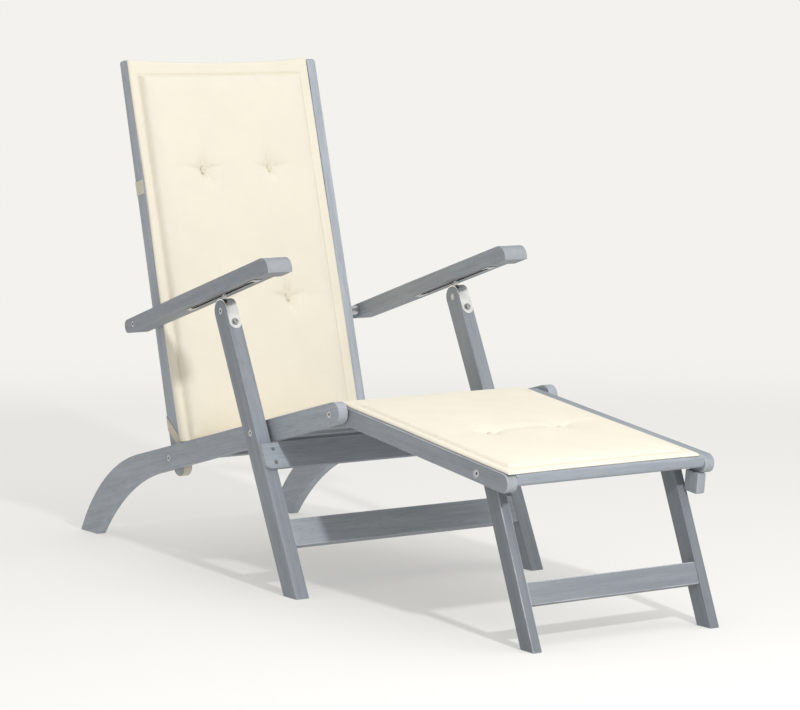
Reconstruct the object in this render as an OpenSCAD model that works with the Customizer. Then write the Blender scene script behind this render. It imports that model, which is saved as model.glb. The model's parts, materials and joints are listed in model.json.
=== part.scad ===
// Folding chaise longue: a slatted wooden deck chair with a hinged back, front legs,
// arms and footrest, and one long tufted cushion laid over it in three parts.
// Millimetres, +Z up, the foot end towards -Y. Left is +X, right is -X.
// The origin is on the ground, in the middle of the whole chair.

/* [Seat frame] */
// Width over the two seat rails
frame_w = 496; // [440:1:560]
// Thickness of a seat rail
rail_t = 20; // [17:0.5:24]
// Depth of a seat rail at its front end
rail_front_d = 41; // [36:1:44]
// Depth of a seat rail at its rear bend
rail_rear_d = 48; // [44:1:54]
// Rise of the seat rail towards the front, degrees
seat_rise = 14; // [12:0.5:16]
// Height of the bolt where leg and seat rail cross
cross_h = 295; // [280:1:310]
// From the crossing bolt to the bolt of the back
back_reach = 400; // [385:1:415]
// From the crossing bolt to the knee bolt
knee_reach = 234; // [225:1:250]
// From the crossing bolt to the start of the rear bend
bend_start = 460; // [450:1:475]
// Outer radius of the rear bend
bend_top_r = 409; // [400:1:430]
// Inner radius of the rear bend
bend_low_r = 485; // [470:1:500]

/* [Slats] */
// Number of seat slats
seat_slat_n = 9; // [7:1:9]
// Width of a seat slat
seat_slat_w = 39; // [30:1:42]
// From a seat rail to the nearest slat
seat_side_gap = 8.5; // [6:0.5:20]
// Thickness of a seat slat
seat_slat_t = 12; // [9:0.5:14]
// Number of cross bars under the seat slats
seat_bar_n = 5; // [4:1:6]
// Width of a seat cross bar
seat_bar_w = 30; // [22:1:34]
// Number of back slats
back_slat_n = 7; // [5:1:7]
// Width of a back slat
back_slat_w = 38; // [30:1:42]
// From a stile to the nearest back slat
back_side_gap = 22; // [10:0.5:30]
// Thickness of a back slat
back_slat_t = 10; // [8:0.5:11]
// Number of footrest slats
foot_slat_n = 7; // [5:1:7]
// Width of a footrest slat
foot_slat_w = 36; // [28:1:38]
// From a footrest rail to the nearest slat
foot_side_gap = 27.5; // [10:0.5:34]
// Thickness of a footrest slat
foot_slat_t = 10; // [8:0.5:11]

/* [Back] */
// Thickness of a stile
stile_t = 20; // [17:0.5:22]
// Depth of a stile at its foot
stile_low_d = 41; // [38:1:44]
// Depth of a stile at its top
stile_top_d = 28; // [25:1:32]
// Length of a stile above its bolt
stile_l = 823; // [780:1:860]
// Lean of the back, degrees
back_lean = 14.9; // [13:0.1:17]
// Height of the top rail of the back
top_rail_h = 60; // [50:1:75]
// Height of the middle and bottom rails of the back
low_rail_h = 45; // [36:1:55]

/* [Arms] */
// Width of an arm at its front
arm_front_w = 53; // [46:1:56]
// Width of an arm at its rear end
arm_rear_w = 44; // [38:1:46]
// Thickness of an arm
arm_t = 27; // [26:1:30]
// Length of an arm in front of its bolt
arm_front_l = 564; // [540:1:590]
// Rise of the arm towards the front, degrees
arm_rise = 16.3; // [16:0.1:17]
// From the bolt of the back up to the bolt of the arm
arm_pivot_h = 276; // [272:1:280]
// Length of the groove under an arm
groove_l = 252; // [220:1:270]
// Width of the groove
groove_w = 12; // [11:0.5:14]

/* [Front legs] */
// Thickness of a front leg
leg_t = 28; // [24:1:30]
// Depth of a front leg
leg_d = 42; // [38:1:44]
// Lean of a front leg, degrees
leg_lean = 26; // [25:0.5:27]
// From the crossing bolt to the bolt at the top of the leg
leg_top_reach = 249; // [245:1:252]
// Height of the apron board
apron_h = 50; // [40:1:60]
// Thickness of the apron board
apron_t = 10; // [8:0.5:14]
// Height of the lower stretcher
stretcher_h = 53; // [40:1:60]
// Thickness of the lower stretcher
stretcher_t = 20; // [16:1:24]

/* [Footrest] */
// Thickness of a footrest rail
foot_rail_t = 20.5; // [17:0.5:21]
// Depth of a footrest rail
foot_rail_d = 34; // [32:1:38]
// From the knee bolt to the centre of the rounded front end
foot_reach = 525; // [500:1:550]
// From the knee bolt to the bolt of the footrest leg
foot_leg_reach = 446.5; // [430:0.5:450]
// Fall of the footrest towards the front, degrees
foot_fall = 7.1; // [6:0.1:8]
// Thickness of a footrest leg
foot_leg_t = 19; // [16:0.5:20]
// Depth of a footrest leg
foot_leg_d = 36; // [34:1:37]
// Lean of a footrest leg, degrees
foot_leg_lean = 22.1; // [20:0.1:24]
// Height of the footrest leg's stretcher
foot_stretcher_h = 40; // [30:1:46]

/* [Gaps between layers] */
// From a seat rail to a front leg
leg_gap = 7.5; // [5:0.5:10]
// From a seat rail to a stile
stile_gap = 2; // [1.5:0.1:3]
// From a seat rail to a footrest rail
knee_gap = 3; // [1.5:0.1:4]
// From a footrest rail to a footrest leg
foot_leg_gap = 2; // [1.5:0.1:3]
// Play left between a washer and what turns against it
run_gap = 0.2; // [0.1:0.05:0.3]

/* [Bolts] */
// Diameter of a hinge bolt's shank
pin_d = 8; // [6:0.5:9]
// Radial play of a shank in its bore
pin_play = 0.05; // [0.02:0.01:0.1]
// Diameter of a bolt head and of a nut
head_d = 14; // [12:0.5:15]
// Thickness of a bolt head
head_t = 3; // [2:0.5:3.5]
// Thickness of a nut
nut_t = 5; // [4:0.5:6]
// Diameter of a washer
washer_d = 19; // [17:0.5:22]
// How far a head lies below the wood
head_sink = 0.8; // [0.4:0.1:1.2]

/* [Leg bracket] */
// Width of the steel strap
bracket_w = 25; // [20:1:27]
// Thickness of the steel strap
bracket_t = 2.5; // [2:0.25:3]
// Length of the strap down the leg's face
bracket_drop = 45; // [38:1:52]

/* [Cushion] */
// How much narrower the cushion is than the seat frame
cushion_less = 64; // [60:1:90]
// Thickness of the padded panel of the seat and the back
cushion_t = 26; // [22:1:32]
// Thickness of the padded panel of the footrest
foot_cushion_t = 13; // [12:1:24]
// Sideways shift of the cushion from the middle of the chair
cushion_shift = -11.5; // [-14:0.5:-10]
// How much narrower the footrest's cushion is than the other two
foot_cushion_less = 18; // [0:1:30]
// Sideways place of the footrest's cushion, toward the left when positive
foot_cushion_shift = -14.5; // [-17:0.5:-10]
// Width of the flat sewn border of the seat and the back
border_w = 28; // [22:1:34]
// Width of the flat sewn border of the footrest
foot_border_w = 16; // [12:1:30]
// Thickness of the flat border
border_t = 6; // [4:0.5:9]
// Width of a cushion strap
strap_w = 29; // [25:1:40]
// Thickness of a cushion strap
strap_t = 1.2; // [0.8:0.1:1.4]

/* [Hidden] */
$fn = 64;

// Overrun of a cut past the faces that it opens
over = 5;
// Gap between a soft piece and what it lies on
soft_gap = 0.3;
wood = "#868d96";
wood_light = "#a2a8b0";
steel = "#c9cbcd";
cream = "#f3ecda";
webbing = "#bdb5a0";

// Rounding of the boards' corners
edge_r = 1;
small_r = 2;
soft_r = 4;
lip_r = 6;
end_r = 12;
corner_r = 14;
nose_r = 23;

cushion_w = frame_w - cushion_less;

// Layers across the chair, as distances from its middle
rail_out = frame_w / 2;
rail_in = rail_out - rail_t;
leg_in = rail_out + leg_gap;
leg_out = leg_in + leg_t;
leg_mid = leg_in + leg_t / 2;
stile_out = rail_in - stile_gap;
stile_in = stile_out - stile_t;
foot_rail_out = rail_in - knee_gap;
foot_rail_in = foot_rail_out - foot_rail_t;
foot_leg_out = foot_rail_in - foot_leg_gap;
foot_leg_in = foot_leg_out - foot_leg_t;
arm_rear_in = leg_mid - arm_rear_w / 2;
arm_rear_out = leg_mid + arm_rear_w / 2;

// Small sizes of the pins, heads and pockets
pin_r = pin_d / 2;
bore_r = pin_r + pin_play;
pocket_r = head_d / 2 + 2 * run_gap;
head_pocket = head_sink + head_t + run_gap;
nut_pocket = head_sink + nut_t + run_gap;
nut_floor = 1.5;
socket_r = 2.9;
socket_d = 2;

// A point turned about the origin of a side view, then moved
function placed(o, p, a) = [o[0] + p[0] * cos(a) - p[1] * sin(a), o[1] + p[0] * sin(a) + p[1] * cos(a)];

// Side view (y, z), first with the crossing bolt at y = 0
cross_0 = [0, cross_h];
knee_0 = placed(cross_0, [-knee_reach, 0], -seat_rise);
foot_pin_drop = 2;
foot_pin_0 = placed(knee_0, [-foot_leg_reach, -foot_pin_drop], foot_fall);
bend_lead = 70;
bend_end = bend_start + bend_lead;
bend_top_c = [bend_end, rail_rear_d / 2 - bend_top_r];
// The lower arc bites a little into the straight edge, so that the two cross cleanly
bend_bite = 0.3;
bend_low_lead = 6;
bend_low_c = [bend_start + bend_low_lead, bend_bite - rail_rear_d / 2 - bend_low_r];
bend_top_0 = placed(cross_0, bend_top_c, -seat_rise);
rear_tip_0 = bend_top_0[0] + sqrt(bend_top_r * bend_top_r - bend_top_0[1] * bend_top_0[1]);
front_tip_0 = foot_pin_0[0] - foot_pin_0[1] * tan(foot_leg_lean) - foot_leg_d / 2 / cos(foot_leg_lean);
// The chair is moved so that its two outermost feet lie equally far from the origin
middle_shift = -(rear_tip_0 + front_tip_0) / 2;

// The hinge bolts of the side view
cross_p = [middle_shift, cross_h];
knee_p = placed(cross_p, [-knee_reach, 0], -seat_rise);
back_p = placed(cross_p, [back_reach, 0], -seat_rise);
foot_pin_p = placed(knee_p, [-foot_leg_reach, -foot_pin_drop], foot_fall);
arm_pin_fwd = 8;
arm_p = placed(back_p, [-arm_pin_fwd, arm_pivot_h], -back_lean);

// Seat slats and bars, in the seat's own frame at the crossing bolt
seat_top = 9;
slat_front_in = 60;
slat_rear_in = 110;
slat_front = -knee_reach + slat_front_in;
slat_rear = back_reach - slat_rear_in;
seat_bar_t = 16;
bar_inset = 30;
rail_nose = 15;

// Back rails and slats, in the back's own frame at its bolt
slat_sink = 2;
slat_face = -stile_top_d / 2 + slat_sink;
back_rail_t = 14;
top_rail_drop = 78;
top_rail_z = stile_l - top_rail_drop;
middle_rail_z = stile_l * 0.43;
bottom_rail_z = 95;
stile_foot = 17;

// Arm sizes, in the arm's own frame at its bolt
arm_top = 13;
arm_low = arm_top - arm_t;
arm_rear_l = 32;
groove_d = 15;
groove_front = 465;
track_wall = 1.2;
track_play = 0.1;
track_tab_l = 22;
track_tab_w = 20;

// Leg sizes, in the leg's own frame at the crossing bolt
leg_r = leg_d / 2;
leg_wood_gap = 0.1;
bracket_r = leg_r + leg_wood_gap;
apron_top = -33;
stretcher_top = -182;
neck_w = 10;
neck_t = 4;
neck_rise = 34;
slide_pin_d = 6;
slide_pin_l = 8;
small_pin_d = 6;
face_bolt_drop = 31;
face_bolt_d = 5;
screw_d = 4;
screw_head_d = 7.5;
screw_head_t = 3;
screw_in = 23;
apron_screw_l = 30;
apron_screw_zs = [-45, -71];

// Footrest sizes, in its own frame at the knee bolt
foot_r = foot_rail_d / 2;
foot_bar_w = 35;
foot_bar_t = 22;
foot_bar_r = 6;
foot_bar_in = 3;
foot_bar_front = foot_bar_in - foot_reach - foot_r;
foot_ledge = 15;
rear_bar_t = 14;
rear_bar_w = 30;
foot_slat_rear = 60;
block_w = 36;
block_h = 38;
block_t = 18;
block_gap = 0.6;
foot_leg_r = foot_leg_d / 2;
foot_stretcher_t = 20;
foot_stretcher_top = -202;
foot_stretcher_in = 1;

// Draws a side outline (y, z) as a board between two distances across
module board(x0, x1) {
    translate([x0, 0, 0]) rotate([90, 0, 90]) linear_extrude(height = x1 - x0) children();
}

// A round bar across the chair between two distances
module rod(r, x0, x1) {
    translate([x0, 0, 0]) rotate([0, 90, 0]) cylinder(r = r, h = x1 - x0);
}

module at(p, angle = 0) {
    translate([0, p[0], p[1]]) rotate([angle, 0, 0]) children();
}

module on_side(side) {
    mirror([side > 0 ? 0 : 1, 0, 0]) children();
}

module both_sides() {
    for (side = [1, -1]) on_side(side) children();
}

module in_seat() { at(cross_p, -seat_rise) children(); }
module in_back() { at(back_p, -back_lean) children(); }
module in_arm() { at(arm_p, -arm_rise) children(); }
module in_leg() { at(cross_p, -leg_lean) children(); }
module in_footrest() { at(knee_p, foot_fall) children(); }
module in_foot_leg() { at(foot_pin_p, -foot_leg_lean) children(); }

// Everything above the ground, for feet that are cut level
module above_ground() {
    span = 2 * (rear_tip_0 - front_tip_0);
    intersection() {
        children();
        translate([-span, -span, 0]) cube([2 * span, 2 * span, span]);
    }
}

// Hinge bolt: a round head with a hex socket, and a plain shank
module bolt(x_head, x_end, r = pin_r) {
    difference() {
        union() {
            rod(head_d / 2, x_head - head_t, x_head);
            rod(r, x_end, x_head - head_t / 2);
        }
        translate([x_head - socket_d, 0, 0]) rotate([0, 90, 0]) cylinder(r = socket_r, h = socket_d + over, $fn = 6);
    }
}

// Cap nut with a blind bore that the shank runs into
module nut(x_in, r = bore_r) {
    difference() {
        rod(head_d / 2, x_in, x_in + nut_t);
        rod(r, x_in + nut_floor, x_in + nut_t + over);
    }
}

module ring(x0, x1, r) {
    difference() {
        rod(r, x0, x1);
        rod(bore_r, x0 - over, x1 + over);
    }
}

// Cuts for a bolt: a head pocket open outwards, a nut pocket open inwards, a bore
module head_cut(x_face) { rod(pocket_r, x_face - head_pocket, x_face + over); }
module nut_cut(x_face) { rod(pocket_r, x_face - over, x_face + nut_pocket); }
module bore_cut(x0, x1, r = bore_r) { rod(r, x0 - over, x1 + over); }

// Bolt and nut of one hinge, from the outer wooden face to the inner one
module hinge_bolt(x_outer, x_inner) {
    bolt(x_outer - head_sink, x_inner + head_sink + nut_floor + run_gap);
}
module hinge_nut(x_inner) { nut(x_inner + head_sink); }

// Board outline with round ends at z = 0, from y = -reach to y = 0
module round_bar(reach, r) {
    translate([-reach, -r]) square([reach, 2 * r]);
    circle(r = r);
    translate([-reach, 0]) circle(r = r);
}

// Outline with a rounded corner each, given as [y, z, radius] in counter-clockwise order
module soft_outline(corners) {
    n = len(corners);
    function unit(v) = v / norm(v);
    points = [for (i = [0:n - 1]) let (
        p = [corners[i][0], corners[i][1]],
        before = [corners[(i + n - 1) % n][0], corners[(i + n - 1) % n][1]],
        after = [corners[(i + 1) % n][0], corners[(i + 1) % n][1]],
        u = unit(before - p),
        v = unit(after - p),
        half = acos(u * v) / 2,
        back = corners[i][2] / tan(half)
    ) each [p + u * back, p + v * back]];
    polygon(points);
    for (i = [0:n - 1]) {
        p = [corners[i][0], corners[i][1]];
        u = unit([corners[(i + n - 1) % n][0], corners[(i + n - 1) % n][1]] - p);
        v = unit([corners[(i + 1) % n][0], corners[(i + 1) % n][1]] - p);
        half = acos(u * v) / 2;
        translate(p + unit(u + v) * corners[i][2] / sin(half)) circle(r = corners[i][2]);
    }
}

// Seat frame

module seat_rail_outline() {
    front = rail_front_d / 2;
    rear = rail_rear_d / 2;
    nose = knee_reach + rail_nose;
    tip = nose + front + over;
    span = 2 * bend_top_r;
    far = bend_end + span / 2 + over;
    difference() {
        polygon([[-tip, front], [-nose, front], [bend_end, rear], [far, rear], [far, -bend_low_r],
            [bend_low_c[0], -bend_low_r], [bend_low_c[0], -rear], [-nose, -front], [-tip, -front]]);
        translate(bend_low_c) circle(r = bend_low_r, $fn = 180);
        difference() {
            translate([bend_end, -span]) square([span, 2 * span]);
            translate(bend_top_c) circle(r = bend_top_r, $fn = 180);
        }
        difference() {
            translate([-nose - span, -span]) square([span, 2 * span]);
            translate([-nose, 0]) circle(r = front);
        }
    }
}

module seat_rail(side) {
    color(wood) on_side(side) above_ground() difference() {
        in_seat() board(rail_in, rail_out) seat_rail_outline();
        at(cross_p) union() {
            bore_cut(rail_in, rail_out);
            nut_cut(rail_in);
        }
        at(back_p) union() {
            bore_cut(rail_in, rail_out);
            head_cut(rail_out);
        }
        at(knee_p) union() {
            bore_cut(rail_in, rail_out);
            head_cut(rail_out);
        }
    }
}

module seat_cross_bars() {
    pitch = (slat_rear - slat_front - 2 * bar_inset) / (seat_bar_n - 1);
    color(wood) in_seat() for (i = [0:seat_bar_n - 1])
        translate([-rail_in, slat_front + bar_inset + i * pitch - seat_bar_w / 2,
            seat_top - seat_slat_t - seat_bar_t])
            cube([2 * rail_in, seat_bar_w, seat_bar_t]);
}

// A row of slats side by side, all of one size
module slat_row(n, pitch, w, y0, y1, z0, t) {
    for (i = [0:n - 1]) translate([(i - (n - 1) / 2) * pitch - w / 2, y0, z0]) cube([w, y1 - y0, t]);
}

// Spacing of a row of slats that leaves a side gap at the two rails
function slat_pitch(inner, side_gap, w, n) = (2 * (inner - side_gap) - w) / (n - 1);

module seat_slats() {
    color(wood_light) in_seat()
        slat_row(seat_slat_n, slat_pitch(rail_in, seat_side_gap, seat_slat_w, seat_slat_n), seat_slat_w,
            slat_front, slat_rear, seat_top - seat_slat_t, seat_slat_t);
}

module leg_pivot_bolts() { color(steel) both_sides() at(cross_p) hinge_bolt(leg_out, rail_in); }
module leg_pivot_nuts() { color(steel) both_sides() at(cross_p) hinge_nut(rail_in); }
module leg_spacers() { color(steel) both_sides() at(cross_p) ring(rail_out, leg_in - run_gap, washer_d / 2); }

// Bolts of the back and the knee

module back_pivot_bolts() { color(steel) both_sides() at(back_p) hinge_bolt(rail_out, stile_in); }
module back_pivot_nuts() { color(steel) both_sides() at(back_p) hinge_nut(stile_in); }
module back_washers() {
    color(steel) both_sides() at(back_p) ring(stile_out + run_gap, rail_in - run_gap, washer_d / 2);
}
module knee_pivot_bolts() { color(steel) both_sides() at(knee_p) hinge_bolt(rail_out, foot_rail_in); }
module knee_pivot_nuts() { color(steel) both_sides() at(knee_p) hinge_nut(foot_rail_in); }
module knee_washers() {
    color(steel) both_sides() at(knee_p) ring(foot_rail_out + run_gap, rail_in - run_gap, washer_d / 2);
}

// Back

module back_stile(side) {
    low = stile_low_d / 2;
    top = stile_top_d / 2;
    color(wood) on_side(side) difference() {
        in_back() board(stile_in, stile_out) union() {
            soft_outline([[-low, -stile_foot, edge_r], [low, -stile_foot, edge_r], [top, stile_l, soft_r],
                [-top, stile_l, end_r]]);
            translate([0, -stile_foot]) circle(r = low);
        }
        at(back_p) union() {
            bore_cut(stile_in, stile_out);
            nut_cut(stile_in);
        }
        at(arm_p) union() {
            bore_cut(stile_in, stile_out);
            nut_cut(stile_in);
        }
    }
}

module back_rail(z, h) {
    color(wood) in_back() translate([-stile_in, slat_face + back_slat_t, z]) cube([2 * stile_in, back_rail_t, h]);
}

module back_slats() {
    pitch = slat_pitch(stile_in, back_side_gap, back_slat_w, back_slat_n);
    color(wood_light) in_back() translate([0, slat_face, 0]) for (i = [0:back_slat_n - 1])
        translate([(i - (back_slat_n - 1) / 2) * pitch - back_slat_w / 2, 0, bottom_rail_z])
            cube([back_slat_w, back_slat_t, top_rail_z + top_rail_h - bottom_rail_z]);
}

// Arms

module arm_outline() {
    soft_outline([[-arm_front_l, arm_low, lip_r], [arm_rear_l, arm_low, end_r], [arm_rear_l, arm_top, end_r],
        [-arm_front_l, arm_top, nose_r]]);
}

module arm(side) {
    front = arm_front_w / 2;
    rear = arm_rear_w / 2;
    taper_start = groove_front - groove_l;
    color(wood) on_side(side) in_arm() difference() {
        intersection() {
            board(leg_mid - front, leg_mid + front) arm_outline();
            translate([leg_mid, 0, arm_low - over]) linear_extrude(height = arm_t + 2 * over)
                polygon([[-front, -arm_front_l - over], [front, -arm_front_l - over], [front, -taper_start],
                    [rear, arm_rear_l + over], [-rear, arm_rear_l + over], [-front, -taper_start]]);
        }
        translate([leg_mid, 0, arm_low - over]) linear_extrude(height = groove_d + over) groove_outline(groove_w);
        bore_cut(arm_rear_in, arm_rear_out);
        head_cut(arm_rear_out);
    }
}

// Plan of the groove, round at both ends
module groove_outline(w) {
    far = groove_front - groove_w / 2;
    near = groove_front - groove_l + groove_w / 2;
    translate([-w / 2, -far]) square([w, far - near]);
    translate([0, -far]) circle(r = w / 2);
    translate([0, -near]) circle(r = w / 2);
}

module arm_track(side) {
    roof = arm_low + groove_d;
    tab_off = groove_w / 2 - track_tab_l;
    color(steel) on_side(side) in_arm() translate([leg_mid, 0, 0]) difference() {
        union() {
            translate([0, 0, arm_low - track_wall]) linear_extrude(height = groove_d + track_wall)
                groove_outline(groove_w - 2 * track_play);
            for (y = [-groove_front - track_tab_l / 2, -groove_front + groove_l - track_tab_l / 2])
                translate([-track_tab_w / 2, y, arm_low - track_wall]) cube([track_tab_w, track_tab_l, track_wall]);
        }
        translate([0, 0, arm_low - track_wall - over]) linear_extrude(height = groove_d + over)
            groove_outline(groove_w - 2 * track_play - 2 * track_wall);
        for (y = track_screw_ys) translate([0, y, arm_low - track_wall - over])
            cylinder(d = screw_d, h = track_wall + 2 * over);
    }
}
track_screw_ys = [-groove_front - track_tab_l / 4, -groove_front + groove_l + track_tab_l / 4];

module track_screws(side) {
    color(steel) on_side(side) in_arm() translate([leg_mid, 0, 0]) for (y = track_screw_ys)
        translate([0, y, arm_low - track_wall - screw_head_t / 2]) cylinder(d = screw_head_d, h = screw_head_t / 2);
}

module arm_pivot_bolts() { color(steel) both_sides() at(arm_p) hinge_bolt(arm_rear_out, stile_in); }
module arm_pivot_nuts() { color(steel) both_sides() at(arm_p) hinge_nut(stile_in); }
module arm_spacers() {
    color(steel) both_sides() at(arm_p) ring(stile_out + run_gap, arm_rear_in - 5 * run_gap, washer_d / 2);
}

// Front legs

module front_leg(side) {
    color(wood) on_side(side) above_ground() difference() {
        in_leg() board(leg_in, leg_out) union() {
            translate([-leg_r, -2 * cross_h]) square([leg_d, 2 * cross_h + leg_top_reach]);
            translate([0, leg_top_reach]) circle(r = leg_r);
        }
        in_leg() union() {
            bore_cut(leg_in, leg_out);
            head_cut(leg_out);
            translate([0, 0, leg_top_reach]) union() {
                bore_cut(leg_in, leg_out, small_pin_d / 2 + pin_play);
                head_cut(leg_out);
                nut_cut(leg_in);
            }
            face_bolt_cut();
            apron_screw_cuts();
        }
    }
}

module face_bolt_cut() {
    translate([leg_mid, -leg_r - over, leg_top_reach - face_bolt_drop]) rotate([-90, 0, 0])
        cylinder(d = face_bolt_d + 2 * pin_play, h = leg_r + over);
}

module apron_screw_cuts() {
    for (z = apron_screw_zs) translate([leg_out - screw_in, -leg_r - apron_t - over, z]) rotate([-90, 0, 0])
        cylinder(d = screw_d + 2 * pin_play, h = apron_screw_l + over);
}

module leg_stretcher() {
    color(wood) in_leg() translate([-leg_in, -leg_r, stretcher_top - stretcher_h])
        cube([2 * leg_in, stretcher_t, stretcher_h]);
}

module seat_apron() {
    color(wood) in_leg() difference() {
        translate([0, -leg_r, apron_top - apron_h]) rotate([90, 0, 0]) linear_extrude(height = apron_t)
            soft_outline([[-leg_out, 0, corner_r], [leg_out, 0, corner_r], [leg_out, apron_h, small_r],
                [-leg_out, apron_h, small_r]]);
        both_sides() apron_screw_cuts();
        both_sides() for (z = apron_screw_zs) translate([leg_out - screw_in, -leg_r - apron_t - over, z])
            rotate([-90, 0, 0]) cylinder(d = screw_head_d + 2 * pin_play, h = screw_head_t + head_sink + over);
    }
}

module apron_screws() {
    face = -leg_r - apron_t + head_sink;
    color(steel) in_leg() both_sides() for (z = apron_screw_zs) translate([leg_out - screw_in, face, z])
        rotate([-90, 0, 0]) difference() {
            union() {
                cylinder(d = screw_head_d, h = screw_head_t);
                cylinder(d = screw_d, h = apron_screw_l - apron_t);
            }
            translate([0, 0, -over]) cylinder(r = screw_d / 3, h = over + screw_head_t / 2, $fn = 6);
        }
}

// Steel strap over the top of a leg and down its face, with the neck that runs in the arm's groove
module leg_bracket(side) {
    outer = bracket_r + bracket_t;
    behind = 60;
    color(steel) on_side(side) in_leg() translate([0, 0, leg_top_reach]) difference() {
        union() {
            board(leg_mid - bracket_w / 2, leg_mid + bracket_w / 2) difference() {
                circle(r = outer);
                circle(r = bracket_r);
                translate([-outer - over, -outer - over]) square([2 * (outer + over), outer + over]);
                rotate(-behind) translate([0, 0]) square([outer + over, outer + over]);
            }
            translate([leg_mid, -bracket_r, 0]) rotate([90, 0, 0]) linear_extrude(height = bracket_t) union() {
                translate([-bracket_w / 2, -bracket_drop + bracket_w / 2])
                    square([bracket_w, bracket_drop - bracket_w / 2]);
                translate([0, -bracket_drop + bracket_w / 2]) circle(d = bracket_w);
            }
            rotate([leg_lean - arm_rise, 0, 0]) union() {
                translate([leg_mid - neck_t / 2, -neck_w / 2, bracket_r + bracket_t / 2])
                    cube([neck_t, neck_w, neck_rise - bracket_r - bracket_t / 2]);
                translate([0, 0, neck_rise])
                    rod(slide_pin_d / 2, leg_mid - slide_pin_l / 2, leg_mid + slide_pin_l / 2);
            }
        }
        translate([leg_mid, -outer - over, -face_bolt_drop]) rotate([-90, 0, 0])
            cylinder(d = face_bolt_d + 2 * pin_play, h = bracket_t + 2 * over);
    }
}

module bracket_face_bolts() {
    disc_t = 1.5;
    stub_t = 2.5;
    stub_in = 2;
    color(steel) both_sides() in_leg()
        translate([leg_mid, -bracket_r - bracket_t, leg_top_reach - face_bolt_drop])
            rotate([90, 0, 0]) difference() {
            union() {
                cylinder(d = head_d, h = disc_t);
                cylinder(d = head_d - 2 * stub_in, h = disc_t + stub_t);
                translate([0, 0, -leg_r + nut_floor]) cylinder(d = face_bolt_d, h = leg_r);
            }
            translate([0, 0, stub_t]) cylinder(r = socket_r, h = over, $fn = 6);
        }
}

module bracket_cross_bolts() {
    color(steel) both_sides() in_leg() translate([0, 0, leg_top_reach])
        bolt(leg_out - head_sink, leg_in + head_sink + nut_floor + run_gap, small_pin_d / 2);
}
module bracket_nuts() {
    color(steel) both_sides() in_leg() translate([0, 0, leg_top_reach])
        nut(leg_in + head_sink, small_pin_d / 2 + pin_play);
}

// Footrest

module foot_rail(side) {
    color(wood) on_side(side) difference() {
        in_footrest() board(foot_rail_in, foot_rail_out) round_bar(foot_reach, foot_r);
        at(knee_p) union() {
            bore_cut(foot_rail_in, foot_rail_out);
            nut_cut(foot_rail_in);
        }
        at(foot_pin_p) union() {
            bore_cut(foot_rail_in, foot_rail_out);
            head_cut(foot_rail_out);
        }
    }
}

module foot_front_bar() {
    rear = foot_bar_front + foot_bar_w;
    ledge_z = foot_r - foot_slat_t;
    low = foot_r - foot_bar_t;
    color(wood) in_footrest() board(-foot_rail_in, foot_rail_in) union() {
        soft_outline([[foot_bar_front, low, foot_bar_r], [rear, low, edge_r], [rear, foot_r, edge_r],
            [foot_bar_front, foot_r, foot_bar_r]]);
        translate([rear - edge_r, low]) square([foot_ledge, ledge_z - low]);
    }
}

module foot_rear_bar() {
    color(wood) in_footrest()
        translate([-foot_rail_in, -foot_slat_rear - rear_bar_w, foot_r - foot_slat_t - rear_bar_t])
        cube([2 * foot_rail_in, rear_bar_w, rear_bar_t]);
}

module foot_slats() {
    front = foot_bar_front + foot_bar_w;
    color(wood_light) in_footrest()
        slat_row(foot_slat_n, slat_pitch(foot_rail_in, foot_side_gap, foot_slat_w, foot_slat_n), foot_slat_w,
            front, -foot_slat_rear, foot_r - foot_slat_t, foot_slat_t);
}

// Block under the left rail that stops the footrest leg from swinging out
module leg_stop_block() {
    // Where the leg's front face passes the block's lower edge
    lean = foot_leg_lean + foot_fall;
    bottom = -foot_r - block_h;
    face = -foot_leg_reach - foot_leg_r * cos(lean)
        + (bottom + foot_pin_drop - foot_leg_r * sin(lean)) * tan(lean);
    color(wood) in_footrest() board(foot_leg_out - block_t / 3, foot_leg_out + block_t * 2 / 3)
        soft_outline([[face - block_gap - block_w, bottom, soft_r], [face - block_gap, bottom, small_r],
            [face - block_gap, -foot_r, edge_r], [face - block_gap - block_w, -foot_r, edge_r]]);
}

module foot_leg_bolts() { color(steel) both_sides() at(foot_pin_p) hinge_bolt(foot_rail_out, foot_leg_in); }
module foot_leg_nuts() { color(steel) both_sides() at(foot_pin_p) hinge_nut(foot_leg_in); }
module foot_leg_washers() {
    color(steel) both_sides() at(foot_pin_p) ring(foot_leg_out + run_gap, foot_rail_in, washer_d / 2);
}

module foot_leg(side) {
    color(wood) on_side(side) above_ground() difference() {
        in_foot_leg() board(foot_leg_in, foot_leg_out) union() {
            circle(r = foot_leg_r);
            translate([-foot_leg_r, -2 * cross_h]) square([foot_leg_d, 2 * cross_h]);
        }
        at(foot_pin_p) union() {
            bore_cut(foot_leg_in, foot_leg_out);
            nut_cut(foot_leg_in);
        }
    }
}

module foot_leg_stretcher() {
    color(wood) in_foot_leg()
        translate([-foot_leg_in, foot_stretcher_in - foot_leg_r, foot_stretcher_top - foot_stretcher_h])
            cube([2 * foot_leg_in, foot_stretcher_t, foot_stretcher_h]);
}

// Cushion: a padded panel inside a flat sewn border, with drawn-in sides and tufts.
// Each part has a border where the cushion ends, and thins out where it folds.

// Places of the mesh lines near an edge, as shares of the border's width
border_line_shares = [0, 0.15, 0.6, 0.88, 1, 1.12, 1.4, 2, 3];
// Places of the mesh lines around a tuft, as shares of its half width
tuft_line_shares = [-1, -0.4, 0, 0.4, 1];
border_edge_share = 0.6;
seam_depth = 2;
seam_half = 3;
tuft_depth_share = 0.55;
tuft_half = 34;
tuft_soft_share = 0.42;
draw_in = 4;
panel_rise_w = 36;
hip_rise_w = 80;
knee_rise_w = 200;
fold_t = 6;
knee_flap = 26;

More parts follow.
